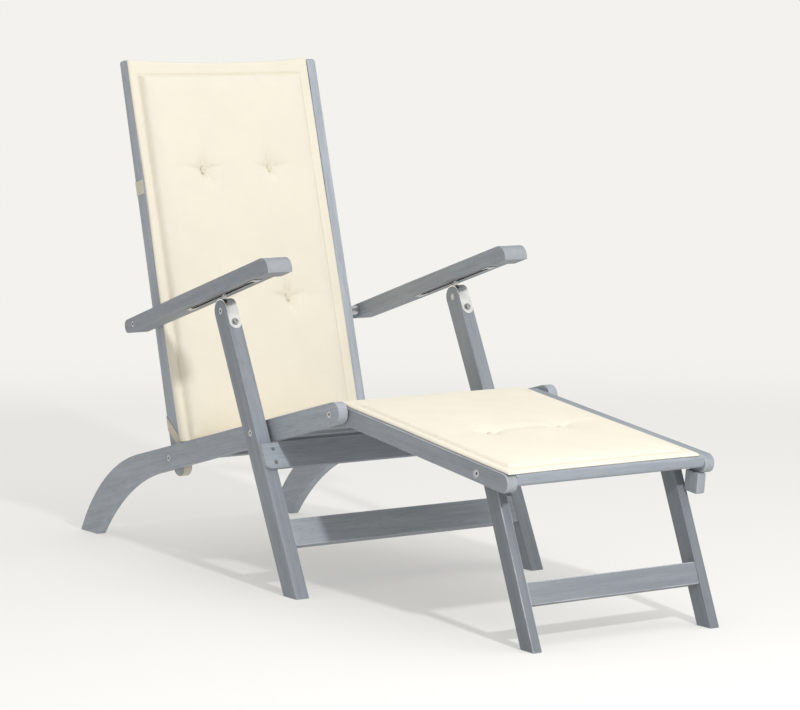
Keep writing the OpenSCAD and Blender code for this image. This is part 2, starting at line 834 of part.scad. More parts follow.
function mesh_lines(length, tufts, border) = concat(
    [for (s = border_line_shares) s * border],
    [for (t = tufts) each [for (s = tuft_line_shares) t + s * tuft_half]],
    [for (i = [len(border_line_shares) - 1:-1:0]) length - border_line_shares[i] * border]);

// Share of the full swell at a share of the way in from an edge
function swell(u) = let (v = 1 - min(max(u, 0), 1)) sqrt(1 - v * v);

// Share of the full height at a share of the way in from the knee, where the pad thins out slowly
function ease(u) = let (v = min(max(u, 0), 1)) v * (2 - v);

// Height of the panel at a distance s from the border's edge, where the folds leave a share f of it
function panel_height(s, f, t, border) = min(
    border_t * (s > 0 ? 1 : border_edge_share) + (t - border_t) * swell((s - border) / panel_rise_w),
    fold_t + (t - fold_t) * f);

function tuft_dip(x, y, xs, ys, t) = max([for (a = xs) for (b = ys)
    tuft_depth_share * t * exp(-(pow(x - a, 2) + pow(y - b, 2)) / pow(tuft_half * tuft_soft_share, 2))]);

// A part of the cushion from y = 0 to y = l. A flap of -1 makes a bordered end, any other a fold
module pad(w, l, xs, ys, t, border, low_flap = -1, high_flap = -1, low_knee = false, high_knee = false) {
    gx = mesh_lines(w, xs, border);
    gy = mesh_lines(l, ys, border);
    nx = len(gx);
    ny = len(gy);
    function edge(x, y) = min(x, w - x, low_flap < 0 ? y : w, high_flap < 0 ? l - y : w);
    function fold(y) = min(low_flap < 0 ? 1 : low_knee ? ease((y - low_flap) / knee_rise_w)
        : swell((y - low_flap) / hip_rise_w), high_flap < 0 ? 1 : high_knee ? ease((l - y - high_flap) / knee_rise_w)
        : swell((l - y - high_flap) / hip_rise_w));
    function top(x, y) = panel_height(edge(x, y), fold(y), t, border) - tuft_dip(x, y, xs, ys, t)
        - seam_depth * exp(-pow((edge(x, y) - border) / seam_half, 2));
    // The long sides pull in between the corners
    function side(x, y) = x - w / 2
        + (x < w / 2 ? 1 : -1) * draw_in * sin(180 * y / l) * pow(1 - min(x, w - x) / (w / 2), 2);
    grid = [for (y = gy) for (x = gx) [side(x, y), y, top(x, y)]];
    round_trip = concat([for (i = [0:nx - 2]) i], [for (j = [0:ny - 2]) j * nx + nx - 1],
        [for (i = [nx - 1:-1:1]) (ny - 1) * nx + i], [for (j = [ny - 1:-1:1]) j * nx]);
    n = len(round_trip);
    m = nx * ny;
    low = [for (k = round_trip) [grid[k][0], grid[k][1], 0]];
    faces = concat(
        [for (j = [0:ny - 2]) for (i = [0:nx - 2]) let (a = j * nx + i)
            each [[a, a + nx, a + nx + 1], [a, a + nx + 1, a + 1]]],
        [for (k = [0:n - 1]) let (q = (k + 1) % n)
            each [[round_trip[k], round_trip[q], m + q], [round_trip[k], m + q, m + k], [m + n, m + k, m + q]]]);
    polyhedron(concat(grid, low, [[0, l / 2, 0]]), faces);
}

// Tuft columns, from the cushion's middle, and rows, from the bolts
tuft_col = 79;
foot_tuft_col = 76.5;
tuft_xs = [cushion_w / 2 - tuft_col, cushion_w / 2 + tuft_col];
tuft_pitch = 275;
back_tuft_high = 583;
foot_tuft = 295;
back_pad_low = 28;
back_pad_l = stile_l - back_pad_low;
stile_tilt = atan((stile_low_d - stile_top_d) / 2 / (stile_l + stile_foot));
stile_front_0 = stile_low_d / 2 - stile_foot * tan(stile_tilt);
seat_pad_front_gap = 1;
seat_pad_rear_gap = 2;
foot_pad_in = 4;
seat_pad_front = -knee_reach + foot_r + seat_pad_front_gap;
seat_pad_rear = back_reach - stile_low_d / 2 - seat_pad_rear_gap;
foot_pad_front = foot_reach + foot_r - foot_pad_in;
foot_pad_rear = 12;

module seat_cushion() {
    l = seat_pad_rear - seat_pad_front;
    color(cream) in_seat() translate([cushion_shift, seat_pad_front, seat_top + soft_gap])
        pad(cushion_w, l, tuft_xs, [l / 2], cushion_t, border_w, 0, 0, low_knee = true);
}

module back_cushion() {
    color(cream) in_back() translate([cushion_shift, -stile_front_0 - soft_gap, 0])
        rotate([90 - stile_tilt, 0, 0]) translate([0, back_pad_low, 0]) pad(cushion_w, back_pad_l, tuft_xs,
            [back_tuft_high - tuft_pitch - back_pad_low, back_tuft_high - back_pad_low], cushion_t, border_w, 0, -1);
}

module foot_cushion() {
    w = cushion_w - foot_cushion_less;
    color(cream) in_footrest() translate([foot_cushion_shift, -foot_pad_front, foot_r + soft_gap])
        pad(w, foot_pad_front + foot_pad_rear, [w / 2 - foot_tuft_col, w / 2 + foot_tuft_col],
            [foot_pad_front - foot_tuft], foot_cushion_t, foot_border_w, -1, knee_flap, high_knee = true);
}

// Straps of the cushion, flat bands round the stiles of the back
strap_upper_z = 542;
strap_lower_z = 58;
strap_fall = 46;
pad_far = cushion_shift + cushion_w / 2;
strap_near_x = -stile_out - soft_gap - strap_t;

function stile_half(z) = stile_front_0 - z * tan(stile_tilt);

// Band behind the stiles, forward outside the right one and inside the left one
module strap_band(z) {
    rear = stile_half(z) + soft_gap;
    front = -stile_half(z + strap_w) + soft_gap;
    far = stile_in - soft_gap;
    color(webbing) in_back() translate([0, 0, z]) linear_extrude(height = strap_w) difference() {
        polygon([[strap_near_x, front], [strap_near_x, rear + strap_t], [far, rear + strap_t],
            [far, front + strap_t], [far - strap_t, front + strap_t], [far - strap_t, rear],
            [strap_near_x + strap_t, rear], [strap_near_x + strap_t, front]]);
    }
}

module cushion_strap_upper() { strap_band(strap_upper_z); }

// The lower strap crosses the outer face of the right stile on its way down and forward
module cushion_strap_lower() {
    rear = stile_half(strap_lower_z) + soft_gap;
    color(webbing) in_back() union() {
        translate([strap_near_x, rear, strap_lower_z]) cube([stile_in - soft_gap - strap_near_x, strap_t, strap_w]);
        board(strap_near_x, strap_near_x + strap_t)
            polygon([[rear + strap_t, strap_lower_z + strap_w], [rear + strap_t, strap_lower_z],
                [soft_gap - stile_half(0), strap_lower_z + strap_w / 2 - strap_fall],
                [soft_gap - stile_half(0), strap_lower_z + strap_w - strap_fall]]);
    }
}

// Loop round the lower end of the right stile
module cushion_strap_loop() {
    r = stile_low_d / 2 + soft_gap;
    edge = 2;
    color(webbing) on_side(-1) in_back() board(stile_in + edge, stile_out - edge) difference() {
        union() {
            translate([0, -stile_foot]) circle(r = r + strap_t);
            translate([-r - strap_t, -stile_foot]) square([2 * (r + strap_t), stile_foot]);
        }
        translate([0, -stile_foot]) circle(r = r);
        translate([-r, -stile_foot]) square([2 * r, stile_foot + over]);
    }
}

seat_rail(1);  // seat_rail_left
seat_rail(-1);  // seat_rail_right
seat_cross_bars();
seat_slats();
leg_pivot_bolts();
leg_pivot_nuts();
leg_spacers();
seat_cushion();
knee_pivot_bolts();
knee_pivot_nuts();
knee_washers();
back_pivot_bolts();
back_pivot_nuts();
back_washers();
back_stile(1);  // back_stile_left
back_stile(-1);  // back_stile_right
back_rail(top_rail_z, top_rail_h);  // back_top_rail
back_rail(middle_rail_z, low_rail_h);  // back_middle_rail
back_rail(bottom_rail_z, low_rail_h);  // back_bottom_rail
back_slats();
back_cushion();
cushion_strap_upper();
cushion_strap_lower();
cushion_strap_loop();
arm_pivot_bolts();
arm_pivot_nuts();
arm_spacers();
arm(1);  // arm_left
arm(-1);  // arm_right
arm_track(1);  // arm_track_left
arm_track(-1);  // arm_track_right
track_screws(1);  // track_screws_left
track_screws(-1);  // track_screws_right
front_leg(1);  // front_leg_left
front_leg(-1);  // front_leg_right
leg_stretcher();
seat_apron();
apron_screws();
leg_bracket(1);  // leg_bracket_left
leg_bracket(-1);  // leg_bracket_right
bracket_face_bolts();
bracket_cross_bolts();
bracket_nuts();
foot_rail(1);  // foot_rail_left
foot_rail(-1);  // foot_rail_right
foot_front_bar();
foot_rear_bar();
foot_slats();
leg_stop_block();
foot_cushion();
foot_leg_bolts();
foot_leg_nuts();
foot_leg_washers();
foot_leg(1);  // foot_leg_left
foot_leg(-1);  // foot_leg_right
foot_leg_stretcher();
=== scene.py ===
# %% [markdown]
# # A folding chaise longue, dressed in Blender
# The chair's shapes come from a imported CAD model, which is loaded here as a fixed frame.
# Everything that follows gives those shapes their looks: grey-washed wood with softened
# edges, steel fittings, slats, and one long tufted cushion in three parts.

# %% Load the frame
import bpy
import bmesh
import json
import math
import numpy as np
from mathutils import Matrix, Vector


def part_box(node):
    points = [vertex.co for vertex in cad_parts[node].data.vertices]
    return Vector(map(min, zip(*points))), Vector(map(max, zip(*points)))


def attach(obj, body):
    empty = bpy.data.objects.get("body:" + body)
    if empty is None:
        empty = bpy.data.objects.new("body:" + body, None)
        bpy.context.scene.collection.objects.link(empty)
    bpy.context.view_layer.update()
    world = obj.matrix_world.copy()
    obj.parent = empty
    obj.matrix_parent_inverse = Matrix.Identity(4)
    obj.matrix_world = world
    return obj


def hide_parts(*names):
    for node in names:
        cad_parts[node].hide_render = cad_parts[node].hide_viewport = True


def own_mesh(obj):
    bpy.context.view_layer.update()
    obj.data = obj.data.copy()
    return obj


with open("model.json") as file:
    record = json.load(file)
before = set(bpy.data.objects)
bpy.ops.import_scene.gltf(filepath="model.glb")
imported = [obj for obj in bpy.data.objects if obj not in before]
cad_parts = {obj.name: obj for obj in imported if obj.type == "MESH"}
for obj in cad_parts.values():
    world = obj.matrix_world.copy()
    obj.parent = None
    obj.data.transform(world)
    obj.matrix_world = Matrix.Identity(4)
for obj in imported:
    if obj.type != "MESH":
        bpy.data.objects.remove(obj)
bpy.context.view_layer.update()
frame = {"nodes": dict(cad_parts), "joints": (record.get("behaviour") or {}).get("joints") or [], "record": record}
body_of_node = {n: b for b, names in frame["record"]["behaviour"]["bodies"].items() for n in names}
hinge = {j["name"]: Vector(j["pos_m"]) for j in frame["joints"]}

# %% [markdown]
# ## The camera
# The photograph was taken from the foot end, a little to the right and slightly above the
# seat, with a long lens. A camera is easiest to place from its azimuth, elevation and roll:
# three perpendicular directions make its matrix, and no tracking constraint is needed.

# %% Camera
def camera_axes(azimuth, elevation, roll):
    a, e, r = (math.radians(v) for v in (azimuth, elevation, roll))
    back = Vector((math.sin(a) * math.cos(e), -math.cos(a) * math.cos(e), math.sin(e)))
    right = Vector((math.cos(a), math.sin(a), 0))
    up = back.cross(right)
    return (math.cos(r) * right + math.sin(r) * up, math.cos(r) * up - math.sin(r) * right, back)

scene = bpy.context.scene
lens = bpy.data.cameras.new("camera")
lens.lens = 134.584
lens.sensor_width = 36
lens.sensor_fit = "HORIZONTAL"
lens.clip_end = 60
camera = bpy.data.objects.new("camera", lens)
scene.collection.objects.link(camera)
right_axis, up_axis, back_axis = camera_axes(-33.21, 6.16, -0.17)
camera.matrix_world = Matrix.Translation((-3.1257, -4.8459, 1.0502)) @ Matrix(
    (right_axis, up_axis, back_axis)).transposed().to_4x4()
scene.camera = camera
scene.view_settings.view_transform = "Standard"

# %% [markdown]
# ## Light, floor and backdrop
# The picture is a bright product shot: even white light from all round, a broad light from
# above, a small lamp in front of the foot end that throws the shadows to the rear, and a
# floor that runs into the background without a line. The world gives the even light. It
# shows the background's own colour only to the camera and to mirrors, so the backdrop stays
# pale without more light on the chair. The floor is a large disc that glows in the same
# colour further out, which hides where it ends.

# %% Helpers for node trees
def srgb(text):
    parts = [int(text[i:i + 2], 16) / 255 for i in (1, 3, 5)]
    return tuple(p / 12.92 if p < 0.04045 else ((p + 0.055) / 1.055) ** 2.4 for p in parts) + (1,)

def add_node(tree, kind, settings=None, **inputs):
    """Inputs go by name, with _ for a space, or by place: i0, i1 and so on."""
    made = tree.nodes.new(kind)
    for key, value in (settings or {}).items():
        setattr(made, key, value)
    for key, value in inputs.items():
        by_place = key[0] == "i" and key[1:].isdigit()
        socket = made.inputs[int(key[1:]) if by_place else key.replace("_", " ")]
        if isinstance(value, bpy.types.NodeSocket):
            tree.links.new(value, socket)
        else:
            socket.default_value = value
    return made

class Tree:
    """A short way to add shader nodes and join them."""
    def __init__(self, material):
        material.use_nodes = True
        self.tree = material.node_tree
        self.tree.nodes.clear()

    def node(self, kind, settings=None, **inputs):
        return add_node(self.tree, kind, settings, **inputs)

    def math(self, operation, a, b=0.0, c=0.0):
        return self.node("ShaderNodeMath", {"operation": operation}, i0=a, i1=b, i2=c).outputs[0]

    def ramp(self, value, low, high, to_low=0.0, to_high=1.0):
        return self.node("ShaderNodeMapRange", {"interpolation_type": "SMOOTHSTEP"}, i0=value, i1=low, i2=high,
                         i3=to_low, i4=to_high).outputs[0]

    def mix(self, share, a, b, blend="MIX"):
        made = self.node("ShaderNodeMix", {"data_type": "RGBA", "blend_type": blend}, i0=share, i6=a, i7=b)
        return made.outputs[2]

def hung_in_scene(name, data):
    made = bpy.data.objects.new(name, data)
    scene.collection.objects.link(made)
    return made

backdrop_colour = srgb("#F3F2EE")

# %% World and lamps
world = bpy.data.worlds.new("studio")
scene.world = world
sky = Tree(world)
rays = sky.node("ShaderNodeLightPath")
seen = sky.math("MAXIMUM", rays.outputs["Is Camera Ray"], rays.outputs["Is Transmission Ray"])
seen = sky.math("MAXIMUM", seen, rays.outputs["Is Glossy Ray"])
even = sky.node("ShaderNodeBackground", Color=(1.0, 0.995, 0.985, 1), Strength=0.50)
shown = sky.node("ShaderNodeBackground", Color=backdrop_colour, Strength=1.0)
mixed = sky.node("ShaderNodeMixShader", i0=seen, i1=even.outputs[0], i2=shown.outputs[0])
sky.node("ShaderNodeOutputWorld", Surface=mixed.outputs[0])

def hung(name, lamp, toward):
    holder = hung_in_scene(name, lamp)
    holder.rotation_euler = Vector(toward).to_track_quat("Z", "Y").to_euler()
    holder.visible_glossy = False
    return holder

broad = bpy.data.lights.new("broad light", "SUN")
broad.energy = 0.96
broad.angle = math.radians(75)
broad_light = hung("broad light", broad, (0.25, -0.10, 0.96))

key = bpy.data.lights.new("key lamp", "AREA")
key.shape = "DISK"
key.size = 0.22
key.energy = 82
key_lamp = hung("key lamp", key, (-0.147, -0.86, 0.49))
key_lamp.location = (-0.6, -3.5, 2.4)

# %% Floor
def disc(name, radius, rings, segments):
    mesh = bpy.data.meshes.new(name)
    points = [(0, 0, 0)]
    faces = []
    for r in range(rings):
        reach = radius * ((r + 1) / rings) ** 2
        turns_round = [2 * math.pi * k / segments for k in range(segments)]
        points += [(reach * math.cos(t), reach * math.sin(t), 0) for t in turns_round]
        for k in range(segments):
            nxt = (k + 1) % segments
            if r == 0:
                faces.append((0, 1 + k, 1 + nxt))
            else:
                a, b = 1 + (r - 1) * segments, 1 + r * segments
                faces.append((a + k, b + k, b + nxt, a + nxt))
    mesh.from_pydata(points, [], faces)
    return hung_in_scene(name, mesh)

floor = disc("floor", 40, 24, 96)
floor_paint = bpy.data.materials.new("floor paint")
paint = Tree(floor_paint)
spot = paint.node("ShaderNodeTexCoord").outputs["Object"]
distance = paint.node("ShaderNodeVectorMath", {"operation": "LENGTH"}, i0=spot).outputs["Value"]
far_share = paint.ramp(distance, 1.2, 4.2)
matte = paint.node("ShaderNodeBsdfPrincipled", Base_Color=(0.90, 0.89, 0.867, 1), Roughness=1.0, i2=1.0)
matte.inputs["Specular IOR Level"].default_value = 0.0
glow = paint.node("ShaderNodeEmission", Color=backdrop_colour, Strength=1.0)
glow_share = paint.math("MAXIMUM", far_share, 0.42)
floor_mix = paint.node("ShaderNodeMixShader", i0=glow_share, i1=matte.outputs[0], i2=glow.outputs[0])
paint.node("ShaderNodeOutputMaterial", Surface=floor_mix.outputs[0])
floor.data.materials.append(floor_paint)

# %% [markdown]
# ## Grey-washed wood
# The timber is a hard wood washed with a blue-grey stain. Up close it has long streaks
# along the grain, short dark pores, and cloudy paler patches where the wash has worn, most
# of all along the edges. End grain drinks less wash and looks lighter. All of it is made
# from noise that is stretched along the board, so each board needs to know which way its
# grain runs: a Mapping node turns the grain onto the Y axis first.

# %% Wood material
def wood_finish(name, turn, tint_and_painted_light, seed):
    """turn is the rotation that lays this board's grain along Y."""
    made = bpy.data.materials.new(name)
    t = Tree(made)
    place = t.node("ShaderNodeTexCoord")
    along = t.node("ShaderNodeMapping", {"vector_type": "POINT"}, Vector=place.outputs["Object"],
                   Location=(seed, seed * 0.37, seed * 0.71), Rotation=turn).outputs[0]
    board = t.node("ShaderNodeAttribute", {"attribute_name": "board"}).outputs["Fac"]
    shift = t.node("ShaderNodeCombineXYZ", i0=t.math("MULTIPLY", board, 3.1), i1=t.math("MULTIPLY", board, 7.7),
                   i2=t.math("MULTIPLY", board, 1.9)).outputs[0]
    along = t.node("ShaderNodeVectorMath", {"operation": "ADD"}, i0=along, i1=shift).outputs[0]

    def stretched(x, y, z, detail, rough):
        scaled = t.node("ShaderNodeVectorMath", {"operation": "MULTIPLY"}, i0=along, i1=(x, y, z)).outputs[0]
        noise = t.node("ShaderNodeTexNoise", Vector=scaled, Scale=1.0, Detail=detail, Roughness=rough)
        return noise.outputs["Fac"]
    streaks = stretched(95, 3.2, 95, 5, 0.6)
    fine = stretched(420, 14, 420, 3, 0.6)
    pores = stretched(900, 38, 900, 2, 0.5)
    clouds = stretched(16, 5, 16, 4, 0.6)
    patches = stretched(38, 17, 38, 5, 0.65)

    base = t.mix(t.ramp(streaks, 0.30, 0.70), (0.288 * tint_and_painted_light, 0.315 * tint_and_painted_light, 0.352 * tint_and_painted_light, 1),
                 (0.345 * tint_and_painted_light, 0.373 * tint_and_painted_light, 0.411 * tint_and_painted_light, 1))
    base = t.mix(t.math("MULTIPLY", t.ramp(clouds, 0.46, 0.74), 0.34), base,
                 (0.43 * tint_and_painted_light, 0.455 * tint_and_painted_light, 0.485 * tint_and_painted_light, 1))
    base = t.mix(t.math("MULTIPLY", t.ramp(fine, 0.58, 0.4), 0.18), base, (0.185, 0.205, 0.235, 1))
    base = t.mix(t.math("MULTIPLY", t.ramp(pores, 0.40, 0.31), 0.36), base, (0.12, 0.13, 0.15, 1))
    bevel_wear_and_highlight = t.node("ShaderNodeAttribute", {"attribute_name": "worn"}).outputs["Fac"]
    edge_share = t.math("MULTIPLY", bevel_wear_and_highlight, t.ramp(patches, 0.30, 0.62, 0.2, 0.85))
    base = t.mix(edge_share, base, (0.47, 0.49, 0.515, 1))
    grain_way = Matrix.Rotation(turn[2], 3, "Z") @ Matrix.Rotation(turn[1], 3, "Y")
    grain_way = grain_way @ Matrix.Rotation(turn[0], 3, "X")
    grain = grain_way.transposed() @ Vector((0, 1, 0))
    facing = t.node("ShaderNodeVectorMath", {"operation": "DOT_PRODUCT"}, i0=place.outputs["Normal"],
                    i1=tuple(grain)).outputs["Value"]
    end = t.ramp(t.math("ABSOLUTE", facing), 0.55, 0.95)
    base = t.mix(t.math("MULTIPLY", end, 0.35), base, (0.43, 0.445, 0.465, 1))
    tone = t.math("MULTIPLY_ADD", board, 0.22, 0.89)
    base = t.mix(1.0, base, t.node("ShaderNodeCombineColor", i0=tone, i1=tone, i2=tone).outputs[0], "MULTIPLY")
    rough = t.math("MULTIPLY_ADD", streaks, 0.16, 0.58)
    height = t.math("ADD", t.math("MULTIPLY", fine, 0.7), t.math("MULTIPLY", pores, 0.5))
    bump = t.node("ShaderNodeBump", Strength=0.32, Distance=0.0006, Height=height).outputs[0]
    skin = t.node("ShaderNodeBsdfPrincipled", Base_Color=base, Roughness=rough, Normal=bump)
    skin.inputs["Specular IOR Level"].default_value = 0.32
    t.node("ShaderNodeOutputMaterial", Surface=skin.outputs[0])
    return made

def grain_turn(angle):
    """Grain in the side view, at an angle above the way to the rear."""
    return (-math.radians(angle), 0.0, 0.0)

across = (0.0, 0.0, math.radians(90))
# The tint of each part is partly its own tone and partly painted light and shade: the stiles and seat rails are
# made lighter, the foot legs and the bar between them darker.
wood = {
    "seat rails": wood_finish("wood of the seat rails", grain_turn(-14.0), 1.17, 1.3),
    "stiles": wood_finish("wood of the stiles", grain_turn(75.1), 1.29, 2.6),
    "arms": wood_finish("wood of the arms", grain_turn(-16.3), 0.93, 3.9),
    "legs": wood_finish("wood of the legs", grain_turn(64.0), 0.86, 5.1),
    "foot rails": wood_finish("wood of the foot rails", grain_turn(7.1), 0.90, 6.7),
    "foot legs": wood_finish("wood of the foot legs", grain_turn(67.9), 0.595, 7.3),
    "block": wood_finish("wood of the block", grain_turn(97.1), 0.95, 8.8),
    "cross": wood_finish("wood across", across, 1.0, 9.4),
    "apron": wood_finish("wood of the apron", across, 1.05, 9.9),
    "foot cross": wood_finish("wood between the foot legs", across, 0.70, 9.1),
    "seat slats": wood_finish("slat wood of the seat", grain_turn(-14.0), 1.12, 10.2),
    "back slats": wood_finish("slat wood of the back", grain_turn(75.1), 1.06, 11.5),
    "foot slats": wood_finish("slat wood of the footrest", grain_turn(7.1), 1.1, 12.9),
}
print("wood finishes:", len(wood))

# %% [markdown]
# ## Softened boards
# The CAD boards have knife edges. Real ones are sanded, and the light that runs along a
# rounded edge is what makes wood look like wood. Each board is a copy of its CAD node, with
# the loose triangles merged, flat areas made one face again, and the sharp edges bevelled.
# The bevel's faces are marked in an attribute, so the wood's finish can look worn there; on steel the same mark
# paints the bevel lighter, a painted highlight.

# %% Board helper
sharp_from = math.radians(30)

def softened_copy(node, radius):
    work = bmesh.new()
    work.from_mesh(frame["nodes"][node].data)
    bmesh.ops.remove_doubles(work, verts=work.verts, dist=2e-5)
    bmesh.ops.dissolve_limit(work, angle_limit=math.radians(0.6), verts=work.verts, edges=work.edges)
    sharp = [e for e in work.edges if len(e.link_faces) == 2 and e.calc_face_angle(0) > sharp_from]
    # the mark on bevel faces: real wear on the wood, a painted highlight on the steel
    flags = work.faces.layers.float.new("worn")
    cut = bmesh.ops.bevel(work, geom=sharp, offset=radius, segments=2, profile=0.5, affect="EDGES",
                          clamp_overlap=True)
    for face in cut["faces"]:
        face[flags] = 1.0
    bmesh.ops.triangulate(work, faces=[f for f in work.faces if len(f.verts) > 4])
    bmesh.ops.recalc_face_normals(work, faces=work.faces)
    made = object_from(work, node + "_soft", 38)
    weigh = made.modifiers.new("weigh", "WEIGHTED_NORMAL")
    weigh.keep_sharp = True
    weigh.weight = 80
    apply_modifiers(made)
    return made

def object_from(work, name, limit=None):
    """A smooth object from a bmesh; edges over the limit, in degrees, stay sharp."""
    mesh = bpy.data.meshes.new(name)
    work.to_mesh(mesh)
    work.free()
    mesh.shade_smooth()
    if limit:
        mesh.set_sharp_from_angle(angle=math.radians(limit))
    return hung_in_scene(name, mesh)

def apply_modifiers(piece):
    graph = bpy.context.evaluated_depsgraph_get()
    done = bpy.data.meshes.new_from_object(piece.evaluated_get(graph), preserve_all_data_layers=True,
                                           depsgraph=graph)
    old = piece.data
    piece.modifiers.clear()
    piece.data = done
    bpy.data.meshes.remove(old)

def set_board_tone(piece, value):
    layer = piece.data.attributes.get("board") or piece.data.attributes.new("board", "FLOAT", "POINT")
    layer.data.foreach_set("value", np.full(len(piece.data.vertices), value, np.float32))

def dress(node, finish, radius, tone=0.5):
    piece = softened_copy(node, radius)
    piece.data.materials.clear()
    piece.data.materials.append(finish)
    set_board_tone(piece, tone)
    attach(piece, body_of_node[node])
    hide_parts(node)
    return piece

# %% Dress the boards
board_pairs = [
    ("seat_rail", "seat rails", 0.0016, 0.55, 0.45), ("back_stile", "stiles", 0.0022, 0.7, 0.4),
    ("arm", "arms", 0.0015, 0.62, 0.5), ("front_leg", "legs", 0.0020, 0.6, 0.52),
    ("foot_rail", "foot rails", 0.0018, 0.62, 0.48), ("foot_leg", "foot legs", 0.0018, 0.6, 0.5),
]
boards = [(name + side, finish, radius, tone) for name, finish, radius, left, right in board_pairs
          for side, tone in (("_left", left), ("_right", right))]
boards += [
    ("leg_stretcher", "cross", 0.0016, 0.6), ("seat_apron", "apron", 0.0014, 0.4),
    ("foot_leg_stretcher", "foot cross", 0.0016, 0.66), ("foot_front_bar", "cross", 0.0016, 0.55),
    ("foot_rear_bar", "cross", 0.0014, 0.4), ("seat_cross_bars", "cross", 0.0014, 0.35),
    ("back_top_rail", "cross", 0.0014, 0.6), ("back_middle_rail", "cross", 0.0014, 0.45),
    ("back_bottom_rail", "cross", 0.0014, 0.5), ("leg_stop_block", "block", 0.0012, 0.55),
]
for node_name, finish, radius, tone in boards:
    dress(node_name, wood[finish], radius, tone)
print("boards dressed:", len(boards))

# %% [markdown]
# ## Slats
# The seat, the back and the footrest are each closed by a row of equal slats. One small
# node tree makes any such row: a rounded rectangle is filled, drawn out to a board and
# repeated at an even spacing. The three rows only differ in their numbers, so this is
# quicker and steadier than placing twenty-three boards by hand. Each slat keeps a random
# number of its own, which the wood finish turns into a slightly different tone and figure.

# %% Node tree for a row of slats
def geometry_tree(name, inputs):
    tree = bpy.data.node_groups.new(name, "GeometryNodeTree")
    tree.interface.new_socket("Geometry", in_out="INPUT", socket_type="NodeSocketGeometry")
    for label, kind, value in inputs:
        socket = tree.interface.new_socket(label, in_out="INPUT", socket_type=kind)
        if value is not None:
            socket.default_value = value
    tree.interface.new_socket("Geometry", in_out="OUTPUT", socket_type="NodeSocketGeometry")
    entry = tree.nodes.new("NodeGroupInput")
    leave = tree.nodes.new("NodeGroupOutput")

    def node(kind, settings=None, **links):
        return add_node(tree, kind, settings, **links)
    return tree, node, entry.outputs, leave

slat_tree, node, given, leave = geometry_tree("row of slats", [
    ("Width", "NodeSocketFloat", 0.04), ("Thickness", "NodeSocketFloat", 0.01),
    ("Length", "NodeSocketFloat", 0.4), ("Spacing", "NodeSocketFloat", 0.05), ("Count", "NodeSocketInt", 7),
    ("Edge radius", "NodeSocketFloat", 0.002), ("Seed", "NodeSocketInt", 3),
    ("Material", "NodeSocketMaterial", None)])
section = node("GeometryNodeCurvePrimitiveQuadrilateral", Width=given["Width"], Height=given["Thickness"])
rounded = node("GeometryNodeFilletCurve", {"mode": "POLY"}, Curve=section.outputs[0], Count=3,
               Radius=given["Edge radius"])
filled = node("GeometryNodeFillCurve", {"mode": "NGONS"}, Curve=rounded.outputs[0])
upwards = node("ShaderNodeCombineXYZ", Z=1.0)
drawn = node("GeometryNodeExtrudeMesh", {"mode": "FACES"}, Mesh=filled.outputs[0], Offset=upwards.outputs[0],
             Offset_Scale=given["Length"], Individual=False)
flipped = node("GeometryNodeFlipFaces", Mesh=filled.outputs[0])
both = node("GeometryNodeJoinGeometry")
slat_tree.links.new(drawn.outputs[0], both.inputs[0])
slat_tree.links.new(flipped.outputs[0], both.inputs[0])
closed = node("GeometryNodeMergeByDistance", Geometry=both.outputs[0], Distance=0.00001)
pitch = node("ShaderNodeCombineXYZ", X=given["Spacing"])
less_one = node("ShaderNodeMath", {"operation": "SUBTRACT"}, i0=given["Count"], i1=1.0)
half_row = node("ShaderNodeMath", {"operation": "MULTIPLY"}, i0=less_one.outputs[0], i1=-0.5)
first_x = node("ShaderNodeMath", {"operation": "MULTIPLY"}, i0=half_row.outputs[0], i1=given["Spacing"])
first = node("ShaderNodeCombineXYZ", X=first_x.outputs[0])
row = node("GeometryNodeMeshLine", {"mode": "OFFSET"}, Count=given["Count"], Start_Location=first.outputs[0],
           Offset=pitch.outputs[0])
placed = node("GeometryNodeInstanceOnPoints", Points=row.outputs[0], Instance=closed.outputs[0])
chance = node("FunctionNodeRandomValue", {"data_type": "FLOAT"}, Seed=given["Seed"])
told = node("GeometryNodeStoreNamedAttribute", {"data_type": "FLOAT", "domain": "INSTANCE"},
            Geometry=placed.outputs[0], Name="board")
chosen = next(o for o in chance.outputs if o.enabled)
slat_tree.links.new(chosen, next(i for i in told.inputs if i.name == "Value" and i.enabled))
real = node("GeometryNodeRealizeInstances", Geometry=told.outputs[0])
painted = node("GeometryNodeSetMaterial", Geometry=real.outputs[0], Material=given["Material"])
slat_tree.links.new(painted.outputs[0], leave.inputs[0])

# %% Run a tree and keep its mesh
def grown(name, tree, values, matrix, start_mesh=None):
    holder = hung_in_scene(name, start_mesh or bpy.data.meshes.new(name + "_start"))
    modifier = holder.modifiers.new("grow", "NODES")
    modifier.node_group = tree
    sockets = {s.name: s.identifier for s in tree.interface.items_tree
               if s.item_type == "SOCKET" and s.in_out == "INPUT"}
    for label, value in values.items():
        modifier[sockets[label]] = value
    bpy.context.view_layer.update()
    graph = bpy.context.evaluated_depsgraph_get()
    mesh = bpy.data.meshes.new_from_object(holder.evaluated_get(graph), preserve_all_data_layers=True,
                                           depsgraph=graph)
    holder.modifiers.clear()
    holder.data = mesh
    mesh.transform(matrix)
    mesh.update()
    return holder

def side_frame(origin, angle):
    """The matrix of a board's own side view: X across, turned about X at a hinge."""
    return Matrix.Translation(origin) @ Matrix.Rotation(math.radians(angle), 4, "X")

seat_frame = side_frame(hinge["front_legs_fold"], -14.0)
back_frame = side_frame(hinge["back_recline"], -14.9)
foot_frame = side_frame(hinge["footrest_fold"], 7.1)
leg_frame = side_frame(hinge["front_legs_fold"], -26.0)
lying = Matrix.Rotation(math.radians(90), 4, "X")

